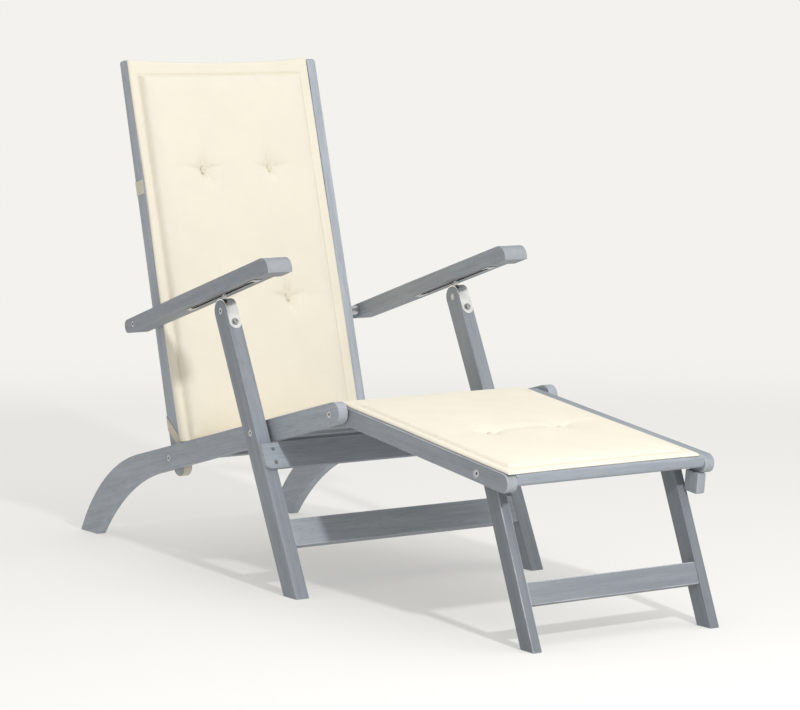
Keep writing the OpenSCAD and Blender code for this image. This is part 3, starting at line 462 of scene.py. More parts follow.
# %% Grow the three rows
rows = [
    ("seat_slats", "seat slats", 0.039, 0.012, 0.464, 0.050, 9,
     seat_frame @ Matrix.Translation((0, 0.290, 0.003)) @ lying),
    ("back_slats", "back slats", 0.038, 0.010, 0.710, 0.055, 7,
     back_frame @ Matrix.Translation((0, -0.007, 0.095))),
    ("foot_slats", "foot slats", 0.036, 0.010, 0.444, 0.053, 7,
     foot_frame @ Matrix.Translation((0, -0.060, 0.012)) @ lying),
]
for node_name, finish, width, thickness, length, spacing, count, matrix in rows:
    slats = grown(node_name + "_row", slat_tree, {
        "Width": width, "Thickness": thickness, "Length": length, "Spacing": spacing, "Count": count,
        "Edge radius": 0.0022, "Seed": 5 + count, "Material": wood[finish]}, matrix)
    slats.data.set_sharp_from_angle(angle=math.radians(50))
    low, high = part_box(node_name)
    got = np.array([v.co for v in slats.data.vertices])
    print(node_name, "off its node by", round(float(np.abs(got.min(0) - np.array(low)).max() * 1000), 2), "mm")
    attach(slats, body_of_node[node_name])
    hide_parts(node_name)

# %% [markdown]
# ## Steel fittings
# Bolts, nuts, washers and the straps over the front legs are brushed steel. The tracks
# under the arms are zinc-plated and duller. A small bevel gives each turned edge a line of
# light, and the bevel's faces are also painted lighter, a painted highlight. The inside of a hex socket and the
# side of a head hardly get any light, and neither does the channel of a track, so their faces are given a dark
# material: painted shade.

# %% Metal finishes
def metal_finish(name, colour, rough, streak, seed=0.0):
    made = bpy.data.materials.new(name)
    t = Tree(made)
    place = t.node("ShaderNodeTexCoord").outputs["Object"]
    scaled = t.node("ShaderNodeMapping", Vector=place, Scale=(90, 900, 900), Location=(seed, 0, 0)).outputs[0]
    lines = t.node("ShaderNodeTexNoise", Vector=scaled, Scale=1.0, Detail=3.0).outputs["Fac"]
    cloud = t.node("ShaderNodeTexNoise", Vector=place, Scale=60.0, Detail=4.0).outputs["Fac"]
    shade = t.mix(t.ramp(cloud, 0.35, 0.7), tuple(c * 0.86 for c in colour) + (1,), tuple(colour) + (1,))
    bevel_wear_and_highlight = t.node("ShaderNodeAttribute", {"attribute_name": "worn"}).outputs["Fac"]
    # painted highlight: the bevel's faces are mixed towards near white, a line of light on each turned edge
    shade = t.mix(t.math("MULTIPLY", bevel_wear_and_highlight, 0.5), shade, (0.9, 0.9, 0.9, 1))
    roughness = t.math("MULTIPLY_ADD", lines, streak, rough)
    bump = t.node("ShaderNodeBump", Strength=0.15, Distance=0.0002, Height=lines).outputs[0]
    skin = t.node("ShaderNodeBsdfPrincipled", Base_Color=shade, Roughness=roughness, Normal=bump, Metallic=1.0)
    t.node("ShaderNodeOutputMaterial", Surface=skin.outputs[0])
    return made

steel = metal_finish("brushed steel", (0.60, 0.61, 0.625), 0.30, 0.2)
bright_steel = metal_finish("polished steel", (0.93, 0.935, 0.94), 0.22, 0.12, 1.0)
zinc = metal_finish("zinc plate", (0.74, 0.755, 0.77), 0.36, 0.16, 4.0)
# painted shade: a near-black steel for hollows and sides that get little light
painted_shade_steel = metal_finish("painted shade in steel hollows", (0.05, 0.05, 0.055), 0.55, 0.1, 2.0)

# %% Painted shade in sockets, on head sides and in track channels
def islands(mesh):
    work = bmesh.new()
    work.from_mesh(mesh)
    work.faces.ensure_lookup_table()
    left = set(range(len(work.faces)))
    groups = []
    while left:
        stack = [left.pop()]
        group = []
        while stack:
            f = stack.pop()
            group.append(f)
            for e in work.faces[f].edges:
                for g in e.link_faces:
                    if g.index in left:
                        left.remove(g.index)
                        stack.append(g.index)
        groups.append(group)
    work.free()
    return groups

socket_reach, socket_depth, socket_lip, head_side = 0.00315, 0.0024, 0.0002, 0.006

def darken_sockets(piece, axis):
    """axis is the way out of the head; on the other side of the chair its X is turned round."""
    mesh = piece.data
    marked = 0
    for group in islands(mesh):
        points = np.array([mesh.vertices[v].co for f in group for v in mesh.polygons[f].vertices])
        middle = (points.min(0) + points.max(0)) / 2
        way = np.array(axis, float)
        if middle[0] < 0:
            way[0] = -way[0]
        top = ((points - middle) @ way).max()
        for f in group:
            corners = np.array([mesh.vertices[v].co for v in mesh.polygons[f].vertices]) - middle
            height = corners @ way
            radial = np.linalg.norm(corners - np.outer(height, way), axis=1)
            socket = radial.max() < socket_reach and height.min() > top - socket_depth \
                and height.mean() < top - socket_lip
            sideways = abs(np.array(mesh.polygons[f].normal) @ way) < 0.5
            rim = radial.min() > socket_reach and sideways and height.min() > top - head_side
            # painted shade: socket insides and head sides get the dark material
            if socket or rim:
                mesh.polygons[f].material_index = 1
                marked += 1
    return marked

def darken_channel(piece):
    """Painted shade: only the lips under a track catch light, so every other face of the track, the channel
    between them, gets the dark material.
    """
    mesh = piece.data
    facing = [p for p in mesh.polygons if p.normal.z < -0.9]
    down = sum((p.normal * p.area for p in facing), Vector()).normalized()
    lowest = max(down @ p.center for p in facing)
    for p in mesh.polygons:
        if p.normal @ down < 0.9 or down @ p.center < lowest - 0.0008:
            p.material_index = 1

leg_face_way = (leg_frame.to_3x3() @ Vector((0, -1, 0)))[:]
across_way = (1, 0, 0)
metal = [(name, steel, across_way) for name in (
    "leg_pivot_bolts", "back_pivot_bolts", "knee_pivot_bolts", "arm_pivot_bolts", "foot_leg_bolts",
    "bracket_cross_bolts")]
metal += [(name, steel, leg_face_way) for name in ("bracket_face_bolts", "apron_screws")]
metal += [(name, steel, None) for name in (
    "leg_pivot_nuts", "back_pivot_nuts", "knee_pivot_nuts", "arm_pivot_nuts", "foot_leg_nuts", "bracket_nuts",
    "leg_spacers", "knee_washers", "back_washers", "arm_spacers", "foot_leg_washers")]
metal += [(name + side, finish, None) for name, finish in (
    ("leg_bracket", bright_steel), ("arm_track", zinc), ("track_screws", zinc)) for side in ("_left", "_right")]
for node_name, finish, way in metal:
    piece = dress(node_name, finish, 0.00035)
    if way or node_name.startswith("arm_track"):
        # painted shade: a second, dark material for sockets, head sides and track channels
        piece.data.materials.append(painted_shade_steel)
    if way:
        print(node_name, "socket faces:", darken_sockets(piece, way))
    elif node_name.startswith("arm_track"):
        darken_channel(piece)

# %% [markdown]
# ## The cushion's cloth
# A closely woven cream cotton. From a metre away it is one soft colour. Nearer, threads
# cross over and under at about a millimetre, some a little darker than others, and the
# colour drifts slightly from place to place. The weave follows the cloth, so it is made
# from the UV map, which holds metres of cloth, and not from the object's own axes.

# %% Cloth finish
def cloth_finish(name, colour, thread, bump_depth, sheen=0.12, drift=0.05):
    made = bpy.data.materials.new(name)
    t = Tree(made)
    uv = t.node("ShaderNodeTexCoord").outputs["UV"]
    parts = t.node("ShaderNodeSeparateXYZ", i0=uv)
    wobble = t.node("ShaderNodeTexNoise", Vector=uv, Scale=120.0, Detail=2.0).outputs["Fac"]
    u = t.math("MULTIPLY_ADD", parts.outputs[0], 2 * math.pi / thread, wobble)
    v = t.math("MULTIPLY_ADD", parts.outputs[1], 2 * math.pi / thread, wobble)
    su, sv = t.math("SINE", u), t.math("SINE", v)
    warp = t.math("ABSOLUTE", t.math("SINE", t.math("MULTIPLY", u, 0.5)))
    weft = t.math("ABSOLUTE", t.math("SINE", t.math("MULTIPLY", v, 0.5)))
    over_under = t.math("MULTIPLY_ADD", t.math("MULTIPLY", su, sv), 0.5, 0.5)
    height = t.math("ADD", t.math("MULTIPLY", warp, over_under),
                    t.math("MULTIPLY", weft, t.math("SUBTRACT", 1.0, over_under)))
    slub = t.node("ShaderNodeMapping", Vector=uv, Scale=(900, 22, 1)).outputs[0]
    slubs = t.node("ShaderNodeTexNoise", Vector=slub, Scale=1.0, Detail=2.0).outputs["Fac"]
    slub_across = t.node("ShaderNodeMapping", Vector=uv, Scale=(22, 900, 1)).outputs[0]
    slubs_across = t.node("ShaderNodeTexNoise", Vector=slub_across, Scale=1.0, Detail=2.0).outputs["Fac"]
    cloud = t.node("ShaderNodeTexNoise", Vector=uv, Scale=9.0, Detail=4.0, Roughness=0.6).outputs["Fac"]
    pale = tuple(min(c * (1 + drift), 0.97) for c in colour) + (1,)
    deep = tuple(c * (1 - drift) for c in colour) + (1,)
    base = t.mix(t.ramp(cloud, 0.3, 0.7), deep, pale)
    threads = t.math("ADD", t.ramp(slubs, 0.3, 0.75, 0.5, 0.0), t.ramp(slubs_across, 0.3, 0.75, 0.5, 0.0))
    base = t.mix(t.math("MULTIPLY", threads, 0.16), base, tuple(c * 0.80 for c in colour) + (1,))
    # painted shade: the low points of the weave, between the threads, are made darker
    base = t.mix(t.ramp(height, 0.45, 0.1, 0.0, 0.18), base, tuple(c * 0.72 for c in colour) + (1,))
    bump = t.node("ShaderNodeBump", Strength=0.5, Distance=bump_depth, Height=height).outputs[0]
    skin = t.node("ShaderNodeBsdfPrincipled", Base_Color=base, Normal=bump, Roughness=0.9)
    skin.inputs["Sheen Weight"].default_value = sheen
    skin.inputs["Sheen Roughness"].default_value = 0.5
    skin.inputs["Specular IOR Level"].default_value = 0.15
    t.node("ShaderNodeOutputMaterial", Surface=skin.outputs[0])
    return made

cream_cloth = cloth_finish("cream canvas", (0.845, 0.795, 0.672), 0.0011, 0.00022, 0.12, 0.014)
sewing_thread = cloth_finish("sewing thread", (0.80, 0.75, 0.62), 0.0005, 0.0001, 0.05)
webbing_cloth = cloth_finish("webbing", (0.70, 0.66, 0.545), 0.0016, 0.0004, 0.05, 0.05)

# %% [markdown]
# ## The cushion's form
# The cushion is one long pad, sewn in three parts that hinge at the hip and the knee. Each
# part is a flat border of two layers of cloth, then a seam, then a filled panel that rises
# steeply from the seam like a pillow. Threads pull the panel down at the tufts. The
# starting shape is a height over a grid, with lines packed closely at the border, the seam
# and the tufts. It is built lying flat, and put in place on its frame when it is finished.

# %% Grid lines
def spaced(length, marks, step, near):
    """Positions from 0 to length: near ones by the marks, others about a step apart."""
    out = [0.0]
    while out[-1] < length - 1e-6:
        at = out[-1]
        gap = step
        for mark, reach, fine in marks:
            off = abs(at - mark)
            if off < reach:
                gap = min(gap, fine + (step - fine) * (off / reach) ** 1.5)
        out.append(at + gap)
    scale = length / out[-1]
    return np.array(out) * scale

def pad_lines(length, tufts, low_border, high_border):
    """low_border and high_border: how wide the border is at each end, or 0 for none."""
    marks = [(t, 0.050, 0.0028) for t in tufts]
    marks += [(0.0, 0.012, 0.0022)] + ([(low_border, 0.022, 0.0017)] if low_border else [])
    marks += [(length, 0.012, 0.0022)] + ([(length - high_border, 0.022, 0.0017)] if high_border else [])
    return spaced(length, marks, 0.0085, 0.02)

cushion_w, cushion_shift = 0.432, -0.0115
foot_cushion_w, foot_cushion_shift = 0.414, -0.0145
border_t, fold_t, cushion_t = 0.006, 0.006, 0.026
hip_rise, knee_rise = 0.080, 0.200

# %% Height of the pad
def swell(u):
    v = 1 - np.clip(u, 0, 1)
    return np.sqrt(1 - v * v)

def ease(u):
    v = np.clip(u, 0, 1)
    return v * (2 - v)

class Pad:
    """peak: how far the corners of a bordered end reach past its middle, in the border alone.
    rise: share of the height the panel gains in a steep step, the width of that step, and how
    far in from the seam it is full. dip: depth, radius and power of the hollow at a tuft."""
    def __init__(self, width, length, tufts, rows, thick, border, left=0.0, end=0.0, low_flap=-1,
                 high_flap=-1, knee="", peak=0.0, narrow=(0.0, 0.0, 0.0), rise=(0.50, 0.009, 0.040),
                 dip=(0.0104, 0.019, 1.8)):
        self.width, self.length, self.tuft_ys, self.thick, self.border = width, length, rows, thick, border
        self.tuft_xs = [width / 2 + t for t in tufts]
        self.low_flap, self.high_flap, self.knee = low_flap, high_flap, knee
        self.peak, self.narrow = peak, narrow
        self.left, self.end, self.rise, self.dip = left or border, end or border + peak, rise, dip
        self.xs = pad_lines(width, self.tuft_xs, self.left, border)
        self.ys = pad_lines(length, rows, self.end if low_flap < 0 else 0, self.end if high_flap < 0 else 0)

    def edge(self, x, y):
        """Distance from the edge, with each border counted as equally wide."""
        def from_side(off, border):
            return np.where(off < border, off * self.border / border, off - border + self.border)
        s = np.minimum(from_side(x, self.left), self.width - x)
        if self.low_flap < 0:
            s = np.minimum(s, from_side(y, self.end))
        if self.high_flap < 0:
            s = np.minimum(s, from_side(self.length - y, self.end))
        return s

    def fold(self, y):
        a = np.full_like(y, self.length) if self.low_flap < 0 else y - self.low_flap
        b = np.full_like(y, self.length) if self.high_flap < 0 else self.length - y - self.high_flap
        return np.minimum(a, b)

    def top(self, x, y):
        s = self.edge(x, y)
        border = border_t * (0.30 + 0.70 * swell(s / 0.007))
        step, near, far = self.rise
        gained = step * swell((s - self.border) / near) + (1 - step) * ease((s - self.border) / far)
        panel = border + (self.thick - border_t) * gained
        rise = np.ones_like(y)
        if self.low_flap >= 0:
            d = y - self.low_flap
            rise = np.minimum(rise, ease(d / knee_rise) if self.knee == "low" else swell(d / hip_rise))
        if self.high_flap >= 0:
            d = self.length - y - self.high_flap
            rise = np.minimum(rise, ease(d / knee_rise) if self.knee == "high" else swell(d / hip_rise))
        flap = 0.45 + 0.55 * swell((self.fold(y) + 0.012) / 0.012)
        folded = fold_t * flap + (self.thick - fold_t) * rise
        z = np.minimum(panel, folded)
        head = np.clip((y - self.length + self.end + 0.012) / 0.012, 0, 1) if self.high_flap < 0 else 0
        z = z - (0.0024 - 0.0014 * head) * np.exp(-((s - self.border) / 0.0026) ** 2)
        return np.maximum(z - self.tuft_dip(x, y), 0.0022)

    def tuft_dip(self, x, y):
        depth, radius, power = self.dip
        dip = np.zeros_like(x)
        for a in self.tuft_xs:
            for b in self.tuft_ys:
                d = np.hypot(x - a, y - b)
                dip = np.maximum(dip, depth * np.exp(-(d / radius) ** power))
        return dip

    def outline(self, x, y):
        """The edge of each half: drawn in halfway, narrower at the high end, peaks at the corners."""
        share = np.clip(np.minimum(x / self.left, (self.width - x) / self.border), 0, 1)
        t = y / self.length
        waist, high_left, high_right = self.narrow
        late = np.clip((t - 0.5) / 0.5, 0, 1) ** 1.3
        drawn = waist * np.exp(-((t - 0.64) / 0.17) ** 2)
        left, right = drawn + high_left * late, 0.4 * drawn + high_right * late
        new_x = x - self.width / 2 + np.where(x < self.width / 2, left, -right) * (1 - share)
        lateral = np.abs(x - self.width / 2) / (self.width / 2)
        hollow = self.peak * (1 - lateral ** 2.6)
        new_y = y.copy()
        if self.high_flap < 0:
            new_y = new_y - hollow * np.clip((y - self.length + self.end) / self.end, 0, 1)
        if self.low_flap < 0:
            new_y = new_y + hollow * np.clip((self.end - y) / self.end, 0, 1)
        return new_x, new_y

# %% Closed mesh from a pad
def pad_mesh(name, pad):
    gx, gy = np.meshgrid(pad.xs, pad.ys)
    nx, ny = len(pad.xs), len(pad.ys)
    px, py = pad.outline(gx, gy)
    top = np.stack([px, py, pad.top(gx, gy)], -1).reshape(-1, 3)
    bottom = np.stack([px, py, np.zeros_like(px)], -1).reshape(-1, 3)
    verts = np.concatenate([top, bottom])
    m = nx * ny
    faces = []
    for j in range(ny - 1):
        for i in range(nx - 1):
            a = j * nx + i
            faces.append((a, a + 1, a + nx + 1, a + nx))
            faces.append((m + a, m + a + nx, m + a + nx + 1, m + a + 1))
    ring = [i for i in range(nx)] + [j * nx + nx - 1 for j in range(1, ny)] \
        + [(ny - 1) * nx + i for i in range(nx - 2, -1, -1)] + [j * nx for j in range(ny - 2, 0, -1)]
    for k, a in enumerate(ring):
        b = ring[(k + 1) % len(ring)]
        faces.append((a, m + a, m + b, b))
    mesh = bpy.data.meshes.new(name)
    mesh.from_pydata(verts.tolist(), [], faces)
    flat_uv = np.stack([np.concatenate([gx.ravel()] * 2), np.concatenate([gy.ravel()] * 2)], -1)
    layer = mesh.uv_layers.new(name="cloth")
    index = np.empty(len(mesh.loops), np.int32)
    mesh.loops.foreach_get("vertex_index", index)
    layer.data.foreach_set("uv", flat_uv[index].astype(np.float32).ravel())
    return hung_in_scene(name, mesh), gx.ravel(), gy.ravel()

# %% [markdown]
# ## Filling the cushion
# A formula alone looks moulded. Blender's cloth solver blows the cloth up from inside for
# twenty frames, while the border, the tufts and the underside are pinned. The cloth also
# shrinks by a hair, as sewn cloth does. The result is capped, so that no point wanders more
# than a few millimetres, and evened out over the grid, so that no ripple follows its lines.

# %% Cloth pass
air_frames, air_pressure, cloth_shrink = 20, 3.2, -0.012

def fill_with_air(piece, pins, cap, shape):
    before = np.array([v.co for v in piece.data.vertices])
    group = piece.vertex_groups.new(name="pins")
    for weight in sorted(set(np.round(pins, 1))):
        if weight > 0:
            group.add([int(i) for i in np.where(np.round(pins, 1) == weight)[0]], float(weight), "REPLACE")
    cloth = piece.modifiers.new("air", "CLOTH")
    s = cloth.settings
    s.quality = 6
    s.mass = 0.25
    s.tension_stiffness = s.compression_stiffness = 18
    s.shear_stiffness = 8
    s.bending_stiffness = 0.25
    s.use_pressure = True
    s.uniform_pressure_force = air_pressure
    s.vertex_group_mass = "pins"
    s.shrink_min = cloth_shrink
    s.effector_weights.gravity = 0
    cloth.collision_settings.use_collision = False
    cloth.point_cache.frame_start, cloth.point_cache.frame_end = 1, air_frames
    for f in range(1, air_frames + 1):
        scene.frame_set(f)
    graph = bpy.context.evaluated_depsgraph_get()
    mesh = piece.evaluated_get(graph).to_mesh()
    after = np.array([v.co for v in mesh.vertices])
    piece.evaluated_get(graph).to_mesh_clear()
    piece.modifiers.clear()
    scene.frame_set(1)
    move = after - before
    size = np.linalg.norm(move, axis=1, keepdims=True)
    move *= np.where(size > cap, cap / np.maximum(size, 1e-9), 1)
    top = move[:len(move) // 2].reshape(*shape, 3)
    for _ in range(24):
        beside = top[:-2, 1:-1] + top[2:, 1:-1] + top[1:-1, :-2] + top[1:-1, 2:]
        top[1:-1, 1:-1] = 0.5 * top[1:-1, 1:-1] + 0.125 * beside
    piece.data.vertices.foreach_set("co", (before + move).astype(np.float32).ravel())
    piece.data.update()
    print(piece.name, "moved by", round(float(size.mean() * 1000), 2), "mm on average")

# %% [markdown]
# ## Creases
# Where a tuft pulls, the cloth folds. Each tuft has a short crease to either side, a soft
# fold that runs up from it, and a small one that leaves it downwards on a slant. Between
# two tufts the panel dips a little. These are added last, as small moves of the surface.

# %% Crease moves
def crease(x, y, start, end, width, depth):
    """A groove that is deepest at its start and fades towards its end."""
    ax, ay = start
    bx, by = end
    length = math.hypot(bx - ax, by - ay)
    ux, uy = (bx - ax) / length, (by - ay) / length
    along = (x - ax) * ux + (y - ay) * uy
    aside = -(x - ax) * uy + (y - ay) * ux
    t = np.clip(along / length, -0.3, 1)
    fade = np.where(t < 0, 1 - (t / 0.3) ** 2, (1 - t) ** 1.2)
    spread = width * (0.55 + 0.75 * np.clip(t, 0, 1))
    return -depth * np.clip(fade, 0, 1) * np.exp(-(aside / spread) ** 2)

def creases(x, y, pad, wander, channel):
    """wander varies the creases from tuft to tuft. channel: depth of the dip between two tufts."""
    z = np.zeros_like(x)
    deep = min(pad.thick / cushion_t, 1.0)
    for row, b in enumerate(pad.tuft_ys):
        for column, a in enumerate(pad.tuft_xs):
            k = wander[(row * 2 + column) % len(wander)]
            folds = [
                crease(x, y, (a, b + 0.001), (a - 0.050 - 0.005 * k, b + 0.008), 0.0046, 0.0078),
                crease(x, y, (a, b + 0.001), (a + 0.046 + 0.006 * k, b + 0.007), 0.0044, 0.0072),
                crease(x, y, (a, b), (a - 0.002 + 0.003 * k, b + 0.105), 0.0085, 0.0076),
                crease(x, y, (a, b), (a + 0.024 + 0.008 * k, b - 0.055), 0.0046, 0.0046 + 0.001 * k),
                crease(x, y, (a, b), (a - 0.010, b - 0.036), 0.0040, 0.0020)]
            clear = 1 - np.exp(-(np.hypot(x - a, y - b) / 0.0075) ** 2)
            z += deep * np.minimum.reduce(folds) * clear
        between = np.clip(1 - np.abs(x - pad.width / 2) / 0.10, 0, 1) ** 0.5
        z -= channel * np.exp(-((y - b) / 0.013) ** 2) * between
    return z

# %% Make one part of the cushion
def cushion_part(name, pad, matrix, wander, channel, puff, body, node_name):
    """puff: how far the air may move a point."""
    piece, gx, gy = pad_mesh(name, pad)
    m = len(gx)
    s = pad.edge(gx, gy)
    top_pins = np.clip((pad.border + 0.004 - s) / 0.004, 0, 1)
    for a in pad.tuft_xs:
        for b in pad.tuft_ys:
            top_pins = np.maximum(top_pins, (np.hypot(gx - a, gy - b) < 0.0042).astype(float))
    top_pins = np.maximum(top_pins, np.clip((0.004 - pad.fold(gy)) / 0.004, 0, 1))
    pins = np.concatenate([top_pins, np.ones(m)])
    fill_with_air(piece, pins, puff, (len(pad.ys), len(pad.xs)))
    co = np.array([v.co for v in piece.data.vertices])
    inside = np.clip((s - pad.border) / 0.01, 0, 1)
    waves = np.sin(gx * 61 + 2.1 * np.sin(gy * 17 + wander[0])) * np.sin(gy * 43 + 1.7 * np.sin(gx * 23))
    co[:m, 2] += (creases(gx, gy, pad, wander, channel) + 0.0007 * waves) * inside
    near_seam = np.clip(1 - np.abs(s - pad.border) / 0.010, 0, 1)
    pucker = np.sin((gx + gy) * 320 + 3 * np.sin(gy * 37)) + 0.6 * np.sin((gx - gy) * 190)
    co[:m, 2] += 0.00045 * near_seam * pucker
    piece.data.vertices.foreach_set("co", co.astype(np.float32).ravel())
    piece.data.update()
    finish_soft(piece, matrix)
    piece.data.materials.append(cream_cloth)
    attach(piece, body)
    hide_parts(node_name)
    return piece

def finish_soft(piece, matrix):
    subdivide = piece.modifiers.new("smooth", "SUBSURF")
    subdivide.levels = subdivide.render_levels = 1
    apply_modifiers(piece)
    piece.data.transform(matrix)
    piece.data.shade_smooth()
    piece.data.update()

# %% The three parts
seat_pad = Pad(cushion_w, 0.5935, (-0.079, 0.079), [0.29675], cushion_t, 0.028, low_flap=0, high_flap=0,
               knee="low")
back_pad = Pad(cushion_w, 0.795, (-0.0815, 0.0765), [0.280, 0.555], cushion_t, 0.027, left=0.0215, low_flap=0,
               peak=0.009, narrow=(0.0030, 0.0020, 0.0022))
foot_pad = Pad(foot_cushion_w, 0.550, (-0.0765, 0.0765), [0.243], 0.013, 0.017, end=0.026, high_flap=0.026,
               knee="high", peak=0.003, narrow=(0.0015, 0.0, 0.0), rise=(0.30, 0.006, 0.055),
               dip=(0.0088, 0.024, 1.4))
back_tilt = 0.443
seat_place = seat_frame @ Matrix.Translation((cushion_shift, -0.216, 0.0093))
back_place = back_frame @ Matrix.Translation((cushion_shift, -0.02067, 0)) @ Matrix.Rotation(
    math.radians(90 - back_tilt), 4, "X") @ Matrix.Translation((0, 0.028, 0))
foot_place = foot_frame @ Matrix.Translation((foot_cushion_shift, -0.538, 0.0173))
seat_part = cushion_part("seat_part_of_cushion", seat_pad, seat_place, [0.4, -0.8, 0.9], 0.002, 0.0031,
                         "seat_frame", "seat_cushion")
back_part = cushion_part("back_part_of_cushion", back_pad, back_place, [0.3, -0.6, 0.8, -0.2], 0.0, 0.0014,
                         "back", "back_cushion")
foot_part = cushion_part("foot_part_of_cushion", foot_pad, foot_place, [-0.5, 0.7, 0.2], 0.0030, 0.0009,
                         "footrest", "foot_cushion")
for part in (seat_part, back_part, foot_part):
    print(part.name, "triangles:", sum(len(p.vertices) - 2 for p in part.data.polygons))

# %% [markdown]
# ## Thread: seams and tufts
# A row of stitches lies in the seam round each panel, about five to the inch. A node tree
# walks along the seam's curve and lays one short thread at each step, so the spacing stays
# even round the corners. Each tuft is tied with a few turns of thread, arched side by side.

# %% Node tree for a row of stitches
stitch_tree, node, given, leave = geometry_tree("row of stitches", [
    ("Spacing", "NodeSocketFloat", 0.0052), ("Stitch length", "NodeSocketFloat", 0.0036),
    ("Thread", "NodeSocketFloat", 0.00045), ("Material", "NodeSocketMaterial", None)])
path = node("GeometryNodeMeshToCurve", None, Mesh=given["Geometry"])
steps = node("GeometryNodeResampleCurve", {"mode": "LENGTH"}, Curve=path.outputs[0], Length=given["Spacing"])
direction = node("GeometryNodeInputTangent")
turned = node("FunctionNodeAlignRotationToVector", {"axis": "Z"}, Vector=direction.outputs[0])
one = node("GeometryNodeMeshCylinder", {"fill_type": "NGON"}, Vertices=5, Side_Segments=1,
           Radius=given["Thread"], Depth=given["Stitch length"])
laid = node("GeometryNodeInstanceOnPoints", Points=steps.outputs[0], Instance=one.outputs[0],
            Rotation=turned.outputs[0])
real = node("GeometryNodeRealizeInstances", Geometry=laid.outputs[0])
painted = node("GeometryNodeSetMaterial", Geometry=real.outputs[0], Material=given["Material"])
stitch_tree.links.new(painted.outputs[0], leave.inputs[0])

# %% Seam paths
def seam_path(pad, inset):
    """A line just inside the groove of the seam, on the border's side."""
    from_end, from_left = inset * pad.end / pad.border, inset * pad.left / pad.border
    low = from_end if pad.low_flap < 0 else pad.low_flap + 0.012
    high = pad.length - (from_end if pad.high_flap < 0 else pad.high_flap + 0.012)
    left = [(from_left, y) for y in np.linspace(low, high, 60)]
    right = [(pad.width - inset, y) for y in np.linspace(high, low, 60)]
    lines = [left, right]
    if pad.high_flap < 0:
        lines = [left + [(x, high) for x in np.linspace(from_left, pad.width - inset, 34)][1:-1] + right]
    elif pad.low_flap < 0:
        lines = [right + [(x, low) for x in np.linspace(pad.width - inset, from_left, 34)][1:-1] + left]
    return lines

def seam_mesh(name, pad, inset):
    points, edges = [], []
    for line in seam_path(pad, inset):
        xy = np.array(line)
        px, py = pad.outline(xy[:, 0], xy[:, 1])
        pz = pad.top(xy[:, 0], xy[:, 1]) + 0.0003
        start = len(points)
        points += np.stack([px, py, pz], -1).tolist()
        edges += [(start + i, start + i + 1) for i in range(len(line) - 1)]
    mesh = bpy.data.meshes.new(name)
    mesh.from_pydata(points, edges, [])
    return mesh

def add_thread(pad, matrix, body, name):
    stitches = grown(name + "_stitches", stitch_tree, {
        "Spacing": 0.0052, "Stitch length": 0.0037, "Thread": 0.0004, "Material": sewing_thread}, matrix,
        seam_mesh(name + "_seam", pad, pad.border - 0.0030))
    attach(stitches, body)
    ties = tuft_ties(name + "_ties", pad)
    ties.data.transform(matrix)
    ties.data.materials.append(sewing_thread)
    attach(ties, body)
    return stitches, ties

# %% Tied threads at a tuft
turns, turn_gap, tie_half, tie_rise, tie_reach, thread_r = 9, 0.0012, 0.0078, 0.0022, 0.0058, 0.00068

def tuft_ties(name, pad):
    """Arcs of thread side by side, the outer ones shorter and lower."""
    work = bmesh.new()
    side = Vector((1, 0, 0))
    for a in pad.tuft_xs:
        for b in pad.tuft_ys:
            middle = float(pad.top(np.array([a]), np.array([b]))[0])
            px, py = (float(v[0]) for v in pad.outline(np.array([a]), np.array([b])))
            for k in range(turns):
                off = (k - turns // 2) * turn_gap
                share = math.sqrt(max(1 - (off / tie_reach) ** 2, 0.1))
                half, rise = tie_half * share, tie_rise * share
                rings = []
                for t in np.linspace(0, math.pi, 9):
                    centre = Vector((px + off, py - half * math.cos(t), middle + rise * math.sin(t)))
                    up = side.cross(Vector((0, half * math.sin(t), rise * math.cos(t))).normalized())
                    rings.append([work.verts.new(centre + thread_r * (math.cos(u) * side + math.sin(u) * up))
                                  for u in [2 * math.pi * q / 6 for q in range(6)]])
                for r0, r1 in zip(rings, rings[1:]):
                    for q in range(6):
                        work.faces.new((r0[q], r0[(q + 1) % 6], r1[(q + 1) % 6], r1[q]))
                work.faces.new(list(reversed(rings[0])))
                work.faces.new(rings[-1])
    bmesh.ops.recalc_face_normals(work, faces=work.faces)
    made = object_from(work, name)
    made.data.uv_layers.new(name="cloth")
    return made

seat_thread = add_thread(seat_pad, seat_place, "seat_frame", "seat")
back_thread = add_thread(back_pad, back_place, "back", "back")
foot_thread = add_thread(foot_pad, foot_place, "footrest", "foot")

# %% [markdown]
# ## Straps
# The cushion is held by cotton straps that go behind the stiles. They are thin woven bands
# with a folded hem along each edge. A band is a short row of points across its width,
# carried along a path; the hem is a little thicker than the middle. A flat length is what
# the path measures, apart from the short side band, whose length was measured on its mesh.

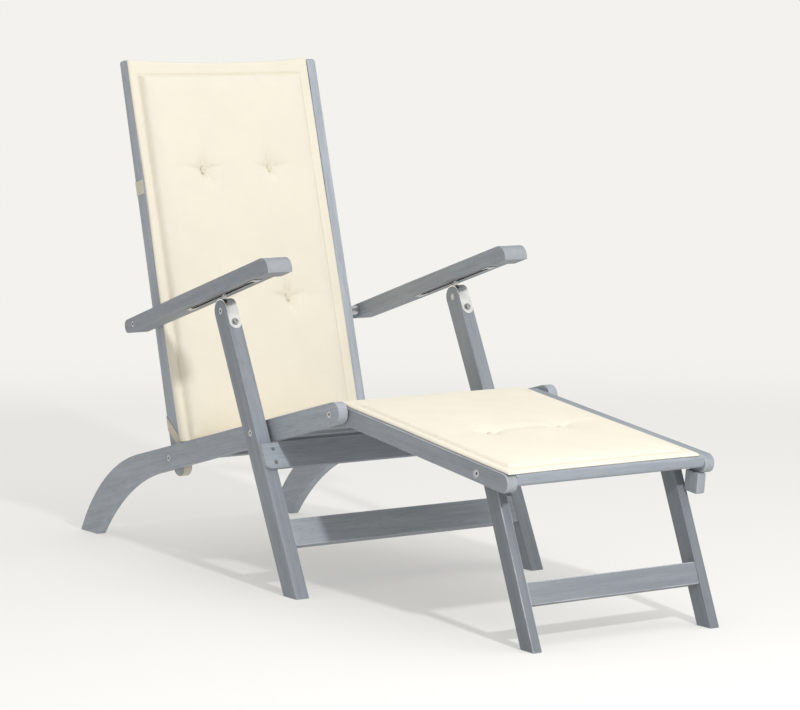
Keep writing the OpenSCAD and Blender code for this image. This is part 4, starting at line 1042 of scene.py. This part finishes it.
# %% Band helper
def band(name, path, wide, width, thickness, corner=0.004):
    """path: points of the band's middle line. wide: the way of its width. One closed ribbon."""
    points = rounded_path([Vector(p) for p in path], corner)
    wide = Vector(wide).normalized()
    shares = [-0.5, -0.46, -0.40, -0.37, 0.0, 0.37, 0.40, 0.46, 0.5]
    thick = [0.75, 1.0, 1.0, 0.62, 0.6, 0.62, 1.0, 1.0, 0.75]
    work = bmesh.new()
    uv = work.loops.layers.uv.new("cloth")
    place = {}
    lines = []
    travelled = 0.0
    for i, p in enumerate(points):
        if i:
            travelled += (p - points[i - 1]).length
        way = (points[min(i + 1, len(points) - 1)] - points[max(i - 1, 0)]).normalized()
        out = way.cross(wide).normalized()
        ring = []
        for sign in (1, -1):
            order = range(9) if sign > 0 else range(8, -1, -1)
            for k in order:
                v = work.verts.new(p + wide * (shares[k] * width) + out * (sign * thickness / 2 * thick[k]))
                place[v] = (shares[k] * width, travelled)
                ring.append(v)
        lines.append(ring)
    n = len(lines[0])
    for a, b in zip(lines, lines[1:]):
        for k in range(n):
            work.faces.new((a[k], a[(k + 1) % n], b[(k + 1) % n], b[k]))
    work.faces.new(lines[0])
    work.faces.new(list(reversed(lines[-1])))
    for face in work.faces:
        for loop in face.loops:
            loop[uv].uv = place[loop.vert]
    bmesh.ops.recalc_face_normals(work, faces=work.faces)
    return object_from(work, name, 60), travelled

def rounded_path(points, radius):
    out = [points[0]]
    for before, at, after in zip(points, points[1:], points[2:]):
        a, b = (before - at), (after - at)
        reach = min(radius, a.length / 2.1, b.length / 2.1)
        a, b = at + a.normalized() * reach, at + b.normalized() * reach
        for k in range(5):
            t = k / 4
            out.append(a * (1 - t) ** 2 + at * (2 * t * (1 - t)) + b * t ** 2)
    return out + [points[-1]]

# %% The three straps
webbing_t, webbing_w, loop_w = 0.0012, 0.029, 0.016
slack = 0.0003
near_x, far_x, loop_x = -0.22690, 0.20510, -0.216
upright, sideways = (0, 0, 1), (1, 0, 0)

def half_depth(z):
    """Half of a stile's depth at a height above the back's hinge."""
    return 0.02037 - z * math.tan(math.radians(back_tilt))

z_mid = 0.5565
rear = half_depth(z_mid) + slack + webbing_t / 2
front = -half_depth(z_mid) + 0.0010
upper, upper_length = band("upper_strap", [
    (near_x, front, z_mid), (near_x, rear, z_mid), (far_x, rear, z_mid), (far_x, front + 0.0012, z_mid)],
    upright, webbing_w, webbing_t, 0.0016)
z_low = 0.0725
rear = half_depth(z_low) + slack + webbing_t / 2
lower, lower_length = band("lower_strap", [(far_x - 0.004, rear, z_low), (near_x + 0.0006, rear, z_low)],
                           upright, webbing_w, webbing_t)
slant_start = Vector((near_x, rear, z_low))
slant_end = Vector((near_x, -0.0196, z_low - 0.046))
slant, _ = band("lower_strap_side", [slant_start, slant_start.lerp(slant_end, 0.5), slant_end],
                upright, 0.0288, webbing_t)
loop_r = 0.0205 + slack + webbing_t / 2
bend = [(loop_x, loop_r * math.cos(t), -0.017 - loop_r * math.sin(t)) for t in np.linspace(0, math.pi, 15)]
loop, loop_length = band("strap_loop", [(loop_x, loop_r, 0.0), *bend, (loop_x, -loop_r, 0.0)],
                         sideways, loop_w, webbing_t, 0.0005)
bands = [(upper, webbing_w, upper_length, "cushion_strap_upper", "stretched"),
         (lower, webbing_w, lower_length, "cushion_strap_lower", "stretched"),
         (slant, webbing_w, 0.042, "cushion_strap_lower", "stretched"),
         (loop, loop_w, loop_length, "cushion_strap_loop", "folded")]
for piece, width, length, node_name, held in bands:
    piece.data.transform(back_frame)
    piece.data.materials.append(webbing_cloth)
    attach(piece, "back")
    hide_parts(node_name)

# %% [markdown]
# ## Folding
# When the chair folds, the cushion is pressed between its frames. Here the three parts and
# their threads only get meshes of their own; nothing in this script flattens them.

# %% Own meshes for the cushion's parts
def flatten(pieces):
    for piece in pieces:
        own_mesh(piece)

flatten([seat_part, *seat_thread])
flatten([back_part, *back_thread])
flatten([foot_part, *foot_thread])
